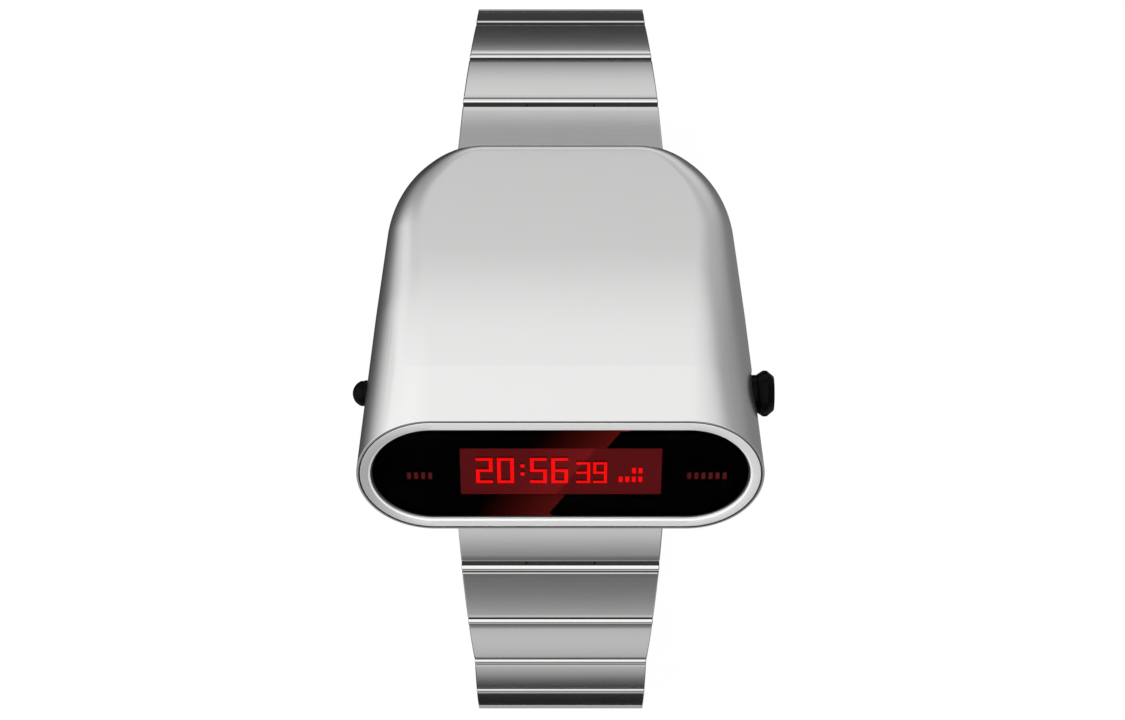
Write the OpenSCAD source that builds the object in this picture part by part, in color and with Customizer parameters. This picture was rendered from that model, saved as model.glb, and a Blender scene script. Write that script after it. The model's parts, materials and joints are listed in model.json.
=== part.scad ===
/* [Case] */
// Width of the case across the face
case_w = 41.4; // [39:0.1:44]
// Height of the pill-shaped face, along the face
face_h = 15.6; // [14.8:0.1:16.4]
// Lean of the face back from upright, in degrees
face_lean = 41.8; // [40:0.1:44]
// Lowest edge of the face above the case back
face_low_z = 3.6; // [3.4:0.1:4.2]
// Reach of the case in front of the origin
case_front = 19.9; // [19.5:0.1:20.5]
// Reach of the case behind the origin
case_rear = 20; // [19.6:0.1:21]
// Half width of the case at the crown line
crown_half_w = 19; // [18.5:0.1:19.6]
// Place of the crown line along the case
crown_y = 1; // [0:0.1:2]
// Highest point of the crown line
crown_z = 12.2; // [11.8:0.1:12.8]
// Plan radius of the two rear corners
rear_corner_r = 9; // [8.6:0.1:9.4]
// Half width of the case at the rear corners
rear_half_w = 17.3; // [17:0.1:17.6]
// Highest point of the rear edge
rear_z = 5.8; // [5.6:0.1:6.4]
// Rounding of the rear edge between the top and the rear wall
rear_round = 1.6; // [1.6:0.1:2]
// Thickness of the case wall
case_wall = 1.3; // [1.1:0.1:1.5]
// Height of the flat under face of the case shell
shell_z = 0.8; // [0.8:0.1:0.9]

/* [Face] */
// Width of case metal left outside the lens ring
rim_w = 0.3; // [0.25:0.05:0.4]
// Width of the lens ring
ring_w = 1.1; // [1:0.05:1.2]
// Thickness of the lens ring
ring_t = 0.8; // [0.7:0.05:0.9]
// Bevel on the inner edge of the lens ring
ring_bevel = 0.22; // [0.15:0.01:0.3]
// Width of the gasket round the lens
lens_gasket_w = 0.2; // [0.2:0.01:0.3]
// Thickness of the lens
lens_t = 1; // [0.9:0.05:1.1]
// Depth of the lens below the ring
lens_sunk = 0.2; // [0.15:0.01:0.25]
// Thickness of the dark mask behind the lens
mask_t = 0.3; // [0.25:0.01:0.3]
// Width of the red window
window_w = 20.8; // [19:0.1:22]
// Height of the red window
window_h = 6.3; // [5.8:0.1:6.8]
// Height of the large digits
digit_h = 3.6; // [3.2:0.1:3.8]
// Height of the small digits
small_digit_h = 3; // [2.6:0.1:3.2]
// Thickness of the display board
display_board_t = 0.8; // [0.7:0.05:0.9]

/* [Case back] */
// Width of the case back
back_w = 30; // [29:0.1:30.4]
// Length of the case back
back_len = 28; // [27.6:0.1:28.2]
// Thickness of the raised step inside the case back
back_step_t = 0.8; // [0.7:0.05:0.9]
// Radius of the case back screws
back_screw_r = 0.4; // [0.35:0.01:0.45]
// Radius of the case back screw heads
back_screw_head_r = 0.8; // [0.7:0.05:0.9]
// Width of the case back gasket
back_gasket_w = 0.6; // [0.5:0.05:0.65]

/* [Module] */
// Thickness of the floor of the module frame
frame_floor_t = 0.6; // [0.5:0.05:0.7]
// Thickness of the circuit board
board_t = 0.8; // [0.7:0.05:0.9]
// Radius of a battery cell
cell_r = 5.8; // [5.5:0.1:5.8]
// Height of a battery cell
cell_h = 4.2; // [3.6:0.1:4.3]
// Thickness of the sheet metal contacts
sheet_t = 0.3; // [0.25:0.01:0.35]

/* [Buttons] */
// Place of both buttons along the case
button_y = -6.2; // [-6.6:0.1:-5.8]
// Height of both buttons above the case back
button_z = 7.6; // [7.2:0.1:8]
// Radius of the left button's head
left_head_r = 1.35; // [1.3:0.05:1.5]
// Radius of the right button's head
right_head_r = 2.35; // [2.2:0.05:2.5]
// How far the left button stands proud of the case
left_proud = 1.45; // [1.4:0.05:1.6]
// How far the right button stands proud of the case
right_proud = 2; // [1.9:0.05:2.2]
// Travel of the buttons
button_travel = 0.8; // [0.6:0.05:0.85]
// Radius of the button stems
stem_r = 0.6; // [0.55:0.01:0.65]
// Radius of the wire of the button springs
button_wire_r = 0.1; // [0.09:0.01:0.11]

/* [Bracelet] */
// Distance between the pins of a link
link_pitch = 8; // [7.9:0.05:8.1]
// Thickness of a link
link_t = 2.4; // [2.3:0.05:2.5]
// Width of the bracelet at the case
lug_w = 22; // [21.6:0.1:22.4]
// Width of the bracelet past its taper
strand_w = 18.6; // [18.2:0.1:19]
// Loss of width over each tapered link
taper_w = 1.04; // [1:0.01:1.1]
// Radius of the rounded bead on each link
bead_r = 0.42; // [0.4:0.01:0.44]
// Gap from the end of a link to the next bead when straight
bead_gap = 0.09; // [0.08:0.01:0.12]
// Height of the shallow arch across the plate of a link
plate_crown = 0.15; // [0.1:0.01:0.2]
// Half width of a link's tongue
tongue_half_w = 3.5; // [3.2:0.1:3.8]
// Radius of a link's tongue round its pin
tongue_r = 0.72; // [0.7:0.01:0.73]
// Radius of a link pin
pin_r = 0.4; // [0.38:0.01:0.41]
// Radius of a spring bar
bar_r = 0.75; // [0.7:0.01:0.78]
// Radius of the tips of a spring bar
bar_tip_r = 0.4; // [0.38:0.01:0.42]
// Distance from the origin back to the rear spring bar
rear_bar_y = 17.8; // [17.6:0.1:18]
// Distance from the origin forward to the front spring bar
front_bar_y = 16; // [15.8:0.1:16.2]
// Height of the spring bars above the case back
bar_z = 2; // [1.95:0.05:2.1]
// Number of links behind the case
rear_count = 9; // [9:1:9]
// Number of links in front of the case
front_count = 9; // [9:1:9]

/* [Clasp] */
// Distance between the two pivots that join the clasp to the bracelet
clasp_span = 42; // [41:0.1:43]
// Tilt of the closed clasp, in degrees
clasp_tilt = 3; // [2:0.5:4]
// Width of the clasp blades
blade_w = 10; // [9.6:0.1:10.4]
// Thickness of the clasp blades
blade_t = 0.8; // [0.7:0.05:0.85]
// Thickness of the clasp cover's roof and walls
cover_t = 0.8; // [0.7:0.05:0.9]
// Radius of the clasp release buttons
release_r = 0.95; // [0.85:0.05:1]
// Travel of the clasp release buttons
release_travel = 0.6; // [0.4:0.05:0.7]

/* [Hidden] */
// Fits and clearances
contact_gap = 0.02;
press_gap = 0.01;
run_gap = 0.05;
side_gap = 0.15;
slot_gap = 0.2;
skin = 0.01;

// Length of cuts that pass right through, and how finely rounds are drawn
through_len = 40;
round_fn = 32;
form_fn = 40;

// The face's own frame: X across, Y up the face, Z out of the face
face_r = face_h / 2;
face_up = [sin(face_lean), cos(face_lean)];
face_y = -case_front + face_r * face_up[0];
face_z = face_low_z + face_r * face_up[1];
ring_out_r = face_r - rim_w;
ring_in_r = ring_out_r - ring_w;
lens_r = ring_in_r - lens_gasket_w;
mask_z = -lens_sunk - lens_t;
shelf_z = mask_z - mask_t;
throat_r = ring_in_r - 1.4;
digit_t = 0.3;
digit_room = 0.3;
board_face_z = shelf_z - digit_room - digit_t;
display_back_z = board_face_z - display_board_t;
display_board_w = window_w + 3.4;
display_low = window_h / 2 + 1.05;
display_high = window_h / 2 + 0.6;

// Places and proportions of the digits, as shares of the height of the large ones
large_digits = [2, 0, 5, 6];
small_digits = [3, 9];
digit_low = -digit_h / 2 - 0.56;
digit_start = -window_w / 2 + 1.8;
digit_w = digit_h * 0.475;
digit_step = digit_h * 0.6;
colon_room = digit_h * 0.33;
small_gap = digit_h * 0.235;
small_digit_w = small_digit_h * 0.47;
small_step = small_digit_h * 0.57;
stroke_share = 0.105;

// The case's crown line and rear edge
crown_r = (crown_z - shell_z) / 2;
rear_edge_r = (rear_z - shell_z) / 2;
front_wall = -shelf_z + 1.1;
foot_r = 2.5;

// The bracelet's joints to the case
knuckle_r = link_t / 2;
slot_r = knuckle_r + slot_gap;
slot_half_w = lug_w / 2;
bar_half_len = slot_half_w - 0.4;
bar_tip_reach = 0.9;
rear_open_angle = 7.5;
front_open_angle = 12;
lug_block_w = slot_half_w + bar_tip_reach + 0.8;

// The case back stands between the two lug slots
back_low_y = -front_bar_y + slot_r + 1.4;
back_high_y = back_low_y + back_len;
back_mid_y = (back_low_y + back_high_y) / 2;
back_corner_r = 2.5;
back_margin = 3;
step_w = back_w - 2 * back_margin;
step_len = back_len - 2 * back_margin;
screw_inset = 1.5;
gasket_t = 0.4;
screw_depth = 1.1;

// The module, from the case back upwards
frame_z = shell_z + back_step_t;
board_z = frame_z + frame_floor_t;
part_z = board_z + board_t;
cell_z = part_z + sheet_t;
strap_z = cell_z + cell_h;
frame_w = step_w - 0.8;
frame_len = step_len - 0.6;
board_w = frame_w - 1.2;
board_len = frame_len - 1.2;
cell_y = 0.5;
cell_x = cell_r + 0.2;
cheek_t = 1;
rear_part_y = 9.4;
chip_w = 6;
chip_len = 3.2;
chip_t = 1.2;
crystal_r = 1;
crystal_len = 6;
trimmer_r = 1.3;
board_screw_r = 0.4;
board_screw_head_r = 0.8;
board_screw_places = [[9.3, -8.3], [10, 6.6]];

// Both buttons: distances along X from the middle of the case
button_wall_x = crown_half_w + (case_w / 2 - crown_half_w) * (crown_y - button_y) / (crown_y - face_y);
head_base_x = button_wall_x - 0.4;
bore_floor_x = head_base_x - button_travel - 0.6;
boss_end_x = bore_floor_x - 2;
stem_end_x = boss_end_x - 1.4;
clip_t = 0.3;
clip_r = 1.1;
ring_seat_x = boss_end_x + 1;
seal_r = 0.2;
spring_turns = 3;
spring_mean_r = stem_r + 0.35;
switch_end_x = stem_end_x - button_travel - 0.1;

// The link's section, in u (along the link) and n (outwards)
bead_n = link_t / 2 - bead_r;
ear_r = tongue_r + 0.08;
recess_r = tongue_r + 0.06;
plate_end = link_pitch - bead_r - bead_gap;
under_end = link_pitch - ear_r - 0.1;
plate_start = bead_r + 0.2;
plate_mid = (plate_start + plate_end) / 2;
plate_reach = (plate_end - plate_start) / 2;
arch_r = (pow(plate_reach, 2) + pow(plate_crown, 2)) / (2 * plate_crown);
groove_n = link_t / 2 - 0.3;
lip_n = bead_n + 0.07;
end_bevel = 0.3;
inner_bevel = 0.2;
pin_inset = 0.3;

// Clasp heights, along n, and places, along u
inner_blade_n = -1.2;
fold_n = -0.2;
outer_blade_n = 0.1;
fold_r = 0.8;
fold_u = clasp_span - 8;
hinge_u = 2.2;
hinge_n = 0.6;
hinge_r = 0.75;
roof_n = 1.5;
roof_start = 1;
roof_end = clasp_span - knuckle_r - 0.2;
cover_half_w = strand_w / 2 + side_gap;
wall_low_n = -1;
ear_reach = 1.3;
release_u = fold_u - 4;
release_n = 0.1;
release_flange_r = release_r + 0.35;
release_proud = 0.7;

// Shape of the worn bracelet: how far each link bends from the one before it
rear_bends = [27.5, 16.5, 8, 17.5, 20.5];
front_bends = [26, 21, 11, 8, 10, 13];

// Pivots and angles along one strand, as [y, z, angle] for each link and the end
function walk(from, side, bends, count, tail, i = 0, angle = 0) =
    i == count ? [[from[0], from[1], angle]] :
    let (a = angle + (i < len(bends) ? bends[i] : tail))
    let (y = from[0] + side * link_pitch * cos(a))
    let (z = from[1] - link_pitch * sin(a))
    concat([[from[0], from[1], a]], walk([y, z], side, bends, count, tail, i + 1, a));
function rear_walk(tail) = walk([rear_bar_y, bar_z], 1, rear_bends, rear_count, tail);
function front_walk(tail) = walk([-front_bar_y, bar_z], -1, front_bends, front_count, tail);
function last_y(path) = path[len(path) - 1][0];
function last_z(path) = path[len(path) - 1][1];

// What the clasp still lacks to reach from strand to strand, for a pair of tail bends
function loop_error(b) =
    let (r = rear_walk(b[0]))
    let (f = front_walk(b[1]))
    [last_y(r) - last_y(f) - clasp_span * cos(clasp_tilt),
     last_z(r) - last_z(f) - clasp_span * sin(clasp_tilt)];

// Newton's method on the two tail bends closes the loop
function close_loop(b, steps) =
    steps == 0 ? b :
    let (h = 0.01)
    let (e = loop_error(b))
    let (er = (loop_error([b[0] + h, b[1]]) - e) / h)
    let (ef = (loop_error([b[0], b[1] + h]) - e) / h)
    let (det = er[0] * ef[1] - ef[0] * er[1])
    let (step_r = (e[0] * ef[1] - ef[0] * e[1]) / det)
    let (step_f = (er[0] * e[1] - er[1] * e[0]) / det)
    close_loop([b[0] - step_r, b[1] - step_f], steps - 1);

tail_bends = close_loop([15, 20], 8);
rear_path = rear_walk(tail_bends[0]);
front_path = front_walk(tail_bends[1]);
echo(rear_path = rear_path);
echo(front_path = front_path);
echo(clasp_angle = 180 - clasp_tilt);

function strand_width(i) = max(strand_w, lug_w - 2 * side_gap - taper_w * i);

// Placing

module at_face() {
    translate([0, face_y, face_z]) rotate([90 - face_lean, 0, 0]) children();
}

module at_rear(place, angle) {
    translate([0, place[0], place[1]]) rotate([-angle, 0, 0]) children();
}

module at_front(place, angle) {
    translate([0, place[0], place[1]]) rotate([angle, 0, 0]) rotate([0, 0, 180]) children();
}

module at_clasp() {
    at_rear([last_y(rear_path), last_z(rear_path)], 180 - clasp_tilt) children();
}

// Extrudes a (u, n) outline across the object
module across(width) {
    rotate([90, 0, 90]) linear_extrude(width, center = true) children();
}

module both_sides() {
    children();
    mirror([1, 0, 0]) children();
}

// Flat shapes

module pill(width, height, inset = 0) {
    r = height / 2 - inset;
    reach = width / 2 - height / 2;
    for (side = [-1, 1]) translate([side * reach, 0]) circle(r, $fn = form_fn);
    square([2 * reach, 2 * r], center = true);
}

module round_plate(width, length, r) {
    for (x = [-1, 1]) for (y = [-1, 1])
        translate([x * (width / 2 - r), y * (length / 2 - r)]) circle(r, $fn = round_fn);
    square([width - 2 * r, length], center = true);
    square([width, length - 2 * r], center = true);
}

module face_slab(inset, low, high) {
    at_face() translate([0, 0, low]) linear_extrude(high - low) pill(case_w, face_h, inset);
}

// Case

// Outer form of the case, drawn in on all sides by the inset
module case_form(inset, face_back) {
    hull() {
        face_slab(inset, -face_back - 0.3, -face_back);
        both_sides() {
            translate([crown_half_w - crown_r, crown_y, shell_z + crown_r])
                sphere(crown_r - inset, $fn = form_fn);
            corner_ring(rear_edge_r, shell_z + rear_edge_r, inset);
            corner_ring(rear_round, rear_z - rear_round, inset);
            translate([back_w / 2 - foot_r, back_low_y + foot_r, shell_z + inset])
                cylinder(0.1, r = foot_r, $fn = 20);
        }
    }
}

// A ring whose outside is a rear corner of the case, at a given height
module corner_ring(r, height, inset) {
    translate([rear_half_w - rear_corner_r, case_rear - rear_corner_r, height])
        rotate_extrude($fn = form_fn) translate([rear_corner_r - r, 0]) circle(r - inset, $fn = 20);
}

// Room for a strand's first link between its stops
module lug_slot() {
    rotate([0, 90, 0]) cylinder(lug_w, r = slot_r, center = true, $fn = round_fn);
    translate([-slot_half_w, 0, -8]) cube([lug_w, 8, 8 + slot_r]);
}

module spring_bar_holes() {
    rotate([0, 90, 0]) cylinder(2 * (slot_half_w + bar_tip_reach + 0.2), r = bar_tip_r + contact_gap,
        center = true, $fn = round_fn);
}

// Metal kept round the two lug slots inside the case
module lug_blocks() {
    block_h = bar_z + slot_r + 1.1;
    translate([-lug_block_w, rear_bar_y - slot_r - 1.1, 0])
        cube([2 * lug_block_w, 8, block_h]);
    translate([-lug_block_w, -front_bar_y + slot_r + 1.1 - 8, 0])
        cube([2 * lug_block_w, 8, block_h]);
}

module button_boss(head_r) {
    translate([boss_end_x, button_y, button_z]) rotate([0, 90, 0])
        cylinder(button_wall_x - boss_end_x - 1, r = head_r + 0.9, $fn = round_fn);
}

module button_bore(head_r) {
    translate([0, button_y, button_z]) rotate([0, 90, 0]) {
        translate([0, 0, bore_floor_x]) cylinder(8, r = head_r + 0.1, $fn = round_fn);
        translate([0, 0, boss_end_x - 1]) cylinder(6, r = stem_r + run_gap, $fn = round_fn);
        translate([0, 0, ring_seat_x - seal_r]) cylinder(2 * seal_r, r = stem_r + 2 * seal_r, $fn = round_fn);
    }
}

module back_screw_places() {
    for (x = [-1, 1]) for (y = [back_low_y + screw_inset, back_high_y - screw_inset])
        translate([x * (back_w / 2 - screw_inset), y, 0]) children();
}

module case_shell() {
    color("silver") difference() {
        union() {
            difference() {
                case_form(0, 0);
                difference() {
                    case_form(case_wall, front_wall);
                    lug_blocks();
                }
                face_slab(face_r - throat_r, -front_wall - 2, 1);
            }
            button_boss(right_head_r);
            mirror([1, 0, 0]) button_boss(left_head_r);
        }
        face_slab(rim_w - contact_gap, -ring_t, 1);
        face_slab(face_r - ring_in_r - contact_gap, shelf_z, 1);
        translate([0, back_mid_y, 0]) linear_extrude(frame_z + 1)
            round_plate(step_w + 2 * run_gap, step_len + 2 * run_gap, back_corner_r);
        translate([0, back_mid_y, 0]) linear_extrude(shell_z + gasket_t)
            round_plate(step_w + 2 * (back_gasket_w + run_gap), step_len + 2 * (back_gasket_w + run_gap),
                back_corner_r + back_gasket_w);
        back_screw_places() cylinder(shell_z + screw_depth, r = back_screw_r + contact_gap, $fn = round_fn);
        at_rear([rear_bar_y, bar_z], rear_open_angle) lug_slot();
        at_front([-front_bar_y, bar_z], front_open_angle) lug_slot();
        at_rear([rear_bar_y, bar_z], 0) spring_bar_holes();
        at_front([-front_bar_y, bar_z], 0) spring_bar_holes();
        button_bore(right_head_r);
        mirror([1, 0, 0]) button_bore(left_head_r);
    }
}

module case_back() {
    color("lightgray") difference() {
        translate([0, back_mid_y, 0]) {
            linear_extrude(shell_z) round_plate(back_w, back_len, back_corner_r);
            linear_extrude(frame_z) round_plate(step_w, step_len, back_corner_r);
        }
        back_screw_places() {
            translate([0, 0, -1]) cylinder(3, r = back_screw_r + contact_gap, $fn = round_fn);
            translate([0, 0, -1]) cylinder(1.5, r = back_screw_head_r + contact_gap, $fn = round_fn);
        }
    }
}

module case_back_screws() {
    color("gainsboro") back_screw_places() difference() {
        union() {
            translate([0, 0, 0.1]) cylinder(0.4, r = back_screw_head_r, $fn = round_fn);
            translate([0, 0, 0.1]) cylinder(shell_z + screw_depth - 0.2, r = back_screw_r, $fn = round_fn);
        }
        translate([0, 0, 0.1]) cube([2 * back_screw_head_r, 0.2, 0.3], center = true);
    }
}

module case_back_gasket() {
    color("dimgray") translate([0, back_mid_y, shell_z + skin]) linear_extrude(gasket_t - 2 * skin)
        difference() {
            round_plate(step_w + 2 * back_gasket_w, step_len + 2 * back_gasket_w,
                back_corner_r + back_gasket_w);
            round_plate(step_w + 2 * run_gap, step_len + 2 * run_gap, back_corner_r);
        }
}

// Face

module lens_ring() {
    color("silver") difference() {
        face_slab(rim_w, -ring_t, 0);
        face_slab(face_r - ring_in_r, -ring_t - 1, 1);
        face_slab(face_r - ring_in_r - ring_bevel, -lens_sunk, 1);
    }
}

module lens_gasket() {
    color("black") difference() {
        face_slab(face_r - ring_in_r + skin, mask_z, -lens_sunk - 0.1);
        face_slab(face_r - lens_r - skin, mask_z - 1, 1);
    }
}

module lens() {
    color([0.1, 0.1, 0.1, 0.5]) face_slab(face_r - lens_r, mask_z, -lens_sunk);
}

module mask_plate() {
    color("black") difference() {
        face_slab(face_r - ring_in_r + run_gap, shelf_z, mask_z - skin);
        at_face() cube([window_w, window_h, 6], center = true);
    }
}

module red_filter() {
    color("darkred") at_face() translate([0, 0, (shelf_z + mask_z) / 2])
        cube([window_w - 2 * contact_gap, window_h - 2 * contact_gap, mask_t - 2 * skin], center = true);
}

module display_board() {
    color("maroon") at_face() {
        translate([-display_board_w / 2, -display_low, display_back_z])
            cube([display_board_w, display_low + display_high, display_board_t]);
        for (side = [-1, 1]) translate([side * (window_w / 2 + 0.6) - 0.4, -window_h / 2, board_face_z])
            cube([0.8, window_h, digit_t + digit_room]);
    }
}

// Which bars are lit: top, upper right, lower right, bottom, lower left, upper left, middle
function lit_bars(digit) =
    digit == 0 ? [1, 1, 1, 1, 1, 1, 0] :
    digit == 2 ? [1, 1, 0, 1, 1, 0, 1] :
    digit == 3 ? [1, 1, 1, 1, 0, 0, 1] :
    digit == 5 ? [1, 0, 1, 1, 0, 1, 1] :
    digit == 6 ? [1, 0, 1, 1, 1, 1, 1] :
    [1, 1, 1, 1, 0, 1, 1];

module lit_digit(digit, height, w) {
    t = height * stroke_share;
    lit = lit_bars(digit);
    bar_long = w - 2 * t;
    side_long = height / 2 - t;
    if (lit[0]) translate([t, height - t]) square([bar_long, t]);
    if (lit[1]) translate([w - t, height / 2 + 0.1 * t]) square([t, side_long]);
    if (lit[2]) translate([w - t, 0.9 * t]) square([t, side_long]);
    if (lit[3]) translate([t, 0]) square([bar_long, t]);
    if (lit[4]) translate([0, 0.9 * t]) square([t, side_long]);
    if (lit[5]) translate([0, height / 2 + 0.1 * t]) square([t, side_long]);
    if (lit[6]) translate([t, (height - t) / 2]) square([bar_long, t]);
}

module display_digits() {
    colon_x = digit_start + 2 * digit_step + digit_h * 0.06;
    small_start = digit_start + 3 * digit_step + colon_room + digit_w + small_gap;
    dot = digit_h * stroke_share;
    color("red") at_face() translate([0, digit_low, board_face_z]) linear_extrude(digit_t) {
        for (i = [0:3]) translate([digit_start + i * digit_step + (i > 1 ? colon_room : 0), 0])
            lit_digit(large_digits[i], digit_h, digit_w);
        for (rise = [0.3, 0.62]) translate([colon_x, rise * digit_h]) square([1.1 * dot, 1.25 * dot]);
        for (i = [0:1]) translate([small_start + i * small_step, 0])
            lit_digit(small_digits[i], small_digit_h, small_digit_w);
    }
}

module display_flex() {
    front = board_z + board_t;
    reach = 0.25;
    foot_y = back_mid_y - board_len / 2 + 0.3;
    color("darkorange") difference() {
        across(14) polygon([
            [foot_y + 1.6, front], [foot_y + 1.6, front + reach], [foot_y + 0.2, front + reach],
            [face_y - 2.2, face_z - 3.4], [face_y - 3, face_z - 4], [face_y - 0.3, front + 1.3], [foot_y, front]
        ]);
        at_face() translate([-20, -20, display_back_z]) cube([40, 40, 20]);
    }
}

// Module

module cheek() {
    back_y = cell_y - cell_r - 0.2;
    foot_y = back_mid_y - step_len / 2 + back_corner_r;
    intersection() {
        translate([frame_w / 2 - cheek_t / 2, 0, 0]) across(cheek_t) polygon([
            [foot_y, frame_z], [back_y + 1.4, frame_z], [back_y - 1.6, face_z + 1.2],
            [face_y + 3, face_z + 1.2], [face_y, face_z - 3.2], [foot_y, shell_z + case_wall + slot_gap]
        ]);
        at_face() translate([-30, -30, display_back_z - 30]) cube([60, 60, 30]);
    }
}

module module_frame() {
    color("dimgray") difference() {
        union() {
            translate([0, back_mid_y, frame_z]) linear_extrude(frame_floor_t)
                round_plate(frame_w, frame_len, 2);
            both_sides() cheek();
        }
        both_sides() board_screw_places_one_side()
            translate([0, 0, frame_z - 1]) cylinder(4, r = board_screw_r + contact_gap, $fn = round_fn);
    }
}

module board_screw_places_one_side() {
    for (place = board_screw_places) translate([place[0], place[1], 0]) children();
}

module circuit_board() {
    color("darkgreen") difference() {
        translate([0, back_mid_y, board_z]) linear_extrude(board_t)
            round_plate(board_w - 2 * cheek_t, board_len, 1);
        both_sides() board_screw_places_one_side()
            translate([0, 0, board_z - 1]) cylinder(4, r = board_screw_r + contact_gap, $fn = round_fn);
    }
}

module board_screws() {
    color("gainsboro") both_sides() board_screw_places_one_side() difference() {
        union() {
            translate([0, 0, part_z]) cylinder(0.5, r = board_screw_head_r, $fn = round_fn);
            translate([0, 0, frame_z + 0.1]) cylinder(part_z - frame_z, r = board_screw_r, $fn = round_fn);
        }
        translate([0, 0, part_z + 0.5]) cube([2 * board_screw_head_r, 0.2, 0.4], center = true);
    }
}

module processor_chip() {
    leg_w = 0.25;
    color("black") {
        translate([-chip_w / 2, rear_part_y - chip_len / 2, part_z]) cube([chip_w, chip_len, chip_t]);
        for (i = [0:5]) for (side = [-1, 1])
            translate([(i - 2.5) * 0.9, rear_part_y + side * (chip_len / 2 + 0.2), part_z + 0.25])
                cube([leg_w, 0.5, 0.5], center = true);
    }
}

module crystal_can() {
    color("silver") translate([-cell_x - crystal_len / 2, rear_part_y, part_z + crystal_r])
        rotate([0, 90, 0]) cylinder(crystal_len, r = crystal_r, $fn = round_fn);
}

module trimmer() {
    color("goldenrod") difference() {
        translate([cell_x + 1.5, rear_part_y, part_z]) cylinder(1.3, r = trimmer_r, $fn = round_fn);
        translate([cell_x + 1.5, rear_part_y, part_z + 1.3]) cube([1.8, 0.3, 0.6], center = true);
    }
}

module battery_cells() {
    color("lightsteelblue") both_sides() translate([cell_x, cell_y, cell_z]) {
        cylinder(cell_h * 0.78, r = cell_r, $fn = round_fn);
        cylinder(cell_h, r = cell_r - 0.7, $fn = round_fn);
    }
}

module battery_contact() {
    color("gold") translate([0, cell_y, part_z]) {
        both_sides() translate([cell_x, 0, 0]) cylinder(sheet_t, r = 3, $fn = round_fn);
        translate([-cell_x, -1, 0]) cube([2 * cell_x, 2, sheet_t]);
    }
}

module battery_strap() {
    leg_out = cell_r + 0.7;
    color("gold") translate([0, cell_y, 0]) {
        translate([-cell_x, -1.2, strap_z]) cube([2 * cell_x, 2.4, sheet_t]);
        translate([-1.5, -leg_out, strap_z]) cube([3, 2 * leg_out, sheet_t]);
        for (y = [-leg_out, leg_out - sheet_t])
            translate([-1.5, y, part_z]) cube([3, sheet_t, strap_z - part_z + sheet_t]);
    }
}

module switch_contacts() {
    color("gold") both_sides() {
        translate([frame_w / 2, button_y - 0.6, part_z + 1]) cube([sheet_t, 1.2, button_z - part_z]);
        translate([frame_w / 2, button_y - 0.6, button_z - 0.4])
            cube([switch_end_x - frame_w / 2, 1.2, 0.8]);
    }
}

// Buttons, drawn on the right and mirrored for the left

module at_button() {
    translate([0, button_y, button_z]) rotate([0, 90, 0]) children();
}

module button_stem() {
    difference() {
        translate([0, 0, stem_end_x]) cylinder(head_base_x - stem_end_x + 0.2, r = stem_r, $fn = round_fn);
        translate([0, 0, boss_end_x - clip_t - contact_gap]) rotate_extrude($fn = round_fn)
            translate([stem_r - 0.2, 0]) square([1, clip_t + contact_gap]);
    }
}

module right_button() {
    face_x = button_wall_x + right_proud;
    color("black") at_button() {
        button_stem();
        rotate_extrude($fn = 48) polygon([
            [0, head_base_x], [right_head_r - 0.45, head_base_x], [right_head_r - 0.45, button_wall_x + 0.2],
            [right_head_r, face_x - 1.15], [right_head_r, face_x - 0.7], [right_head_r - 0.6, face_x],
            [0, face_x]
        ]);
    }
}

module left_button() {
    face_x = button_wall_x + left_proud;
    dome_x = face_x - left_head_r * 0.8;
    color("black") mirror([1, 0, 0]) at_button() {
        button_stem();
        translate([0, 0, head_base_x]) cylinder(dome_x - head_base_x, r = left_head_r, $fn = round_fn);
        intersection() {
            translate([0, 0, dome_x]) cylinder(left_head_r, r = left_head_r, $fn = round_fn);
            translate([0, 0, face_x - dome_ball_r()]) sphere(dome_ball_r(), $fn = 48);
        }
    }
}

// Radius of the ball whose cap is as wide as the left head and 0.8 of its radius high
function dome_ball_r() = (pow(left_head_r, 2) + pow(0.8 * left_head_r, 2)) / (2 * 0.8 * left_head_r);

// A coil that lies flat on the bore's floor and against the head
module button_spring() {
    low = bore_floor_x + button_wire_r + 0.01;
    high = head_base_x - button_wire_r - 0.01;
    steps = spring_turns * 16;
    points = [for (i = [0:steps]) let (a = i * 22.5) for (k = [0:5])
        let (r = spring_mean_r + button_wire_r * cos(60 * k))
        [r * cos(a), r * sin(a), low + (high - low) * i / steps + button_wire_r * sin(60 * k)]];
    sides = [for (i = [0:steps - 1]) for (k = [0:5])
        [6 * i + k, 6 * i + (k + 1) % 6, 6 * i + 6 + (k + 1) % 6, 6 * i + 6 + k]];
    start_cap = [[5, 4, 3, 2, 1, 0]];
    end_cap = [[for (k = [0:5]) 6 * steps + k]];
    at_button() polyhedron(points, concat(sides, start_cap, end_cap));
}

module right_button_spring() {
    color("silver") button_spring();
}

module left_button_spring() {
    color("silver") mirror([1, 0, 0]) button_spring();
}

module button_seal() {
    at_button() translate([0, 0, ring_seat_x]) rotate_extrude($fn = round_fn)
        translate([stem_r + seal_r, 0]) circle(seal_r - skin, $fn = 16);
}

module right_button_seal() {
    color("dimgray") button_seal();
}

module left_button_seal() {
    color("dimgray") mirror([1, 0, 0]) button_seal();
}

// A spring clip, open on one side, in the groove of a stem
module button_clip() {
    at_button() translate([0, 0, boss_end_x - clip_t]) difference() {
        cylinder(clip_t - skin, r = clip_r, $fn = round_fn);
        translate([0, 0, -1]) cylinder(2, r = stem_r - 0.2 + contact_gap, $fn = round_fn);
        translate([0, -0.25, -1]) cube([2, 0.5, 2]);
    }
}

module right_button_clip() {
    color("silver") button_clip();
}

module left_button_clip() {
    color("silver") mirror([1, 0, 0]) button_clip();
}

// Bracelet

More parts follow.
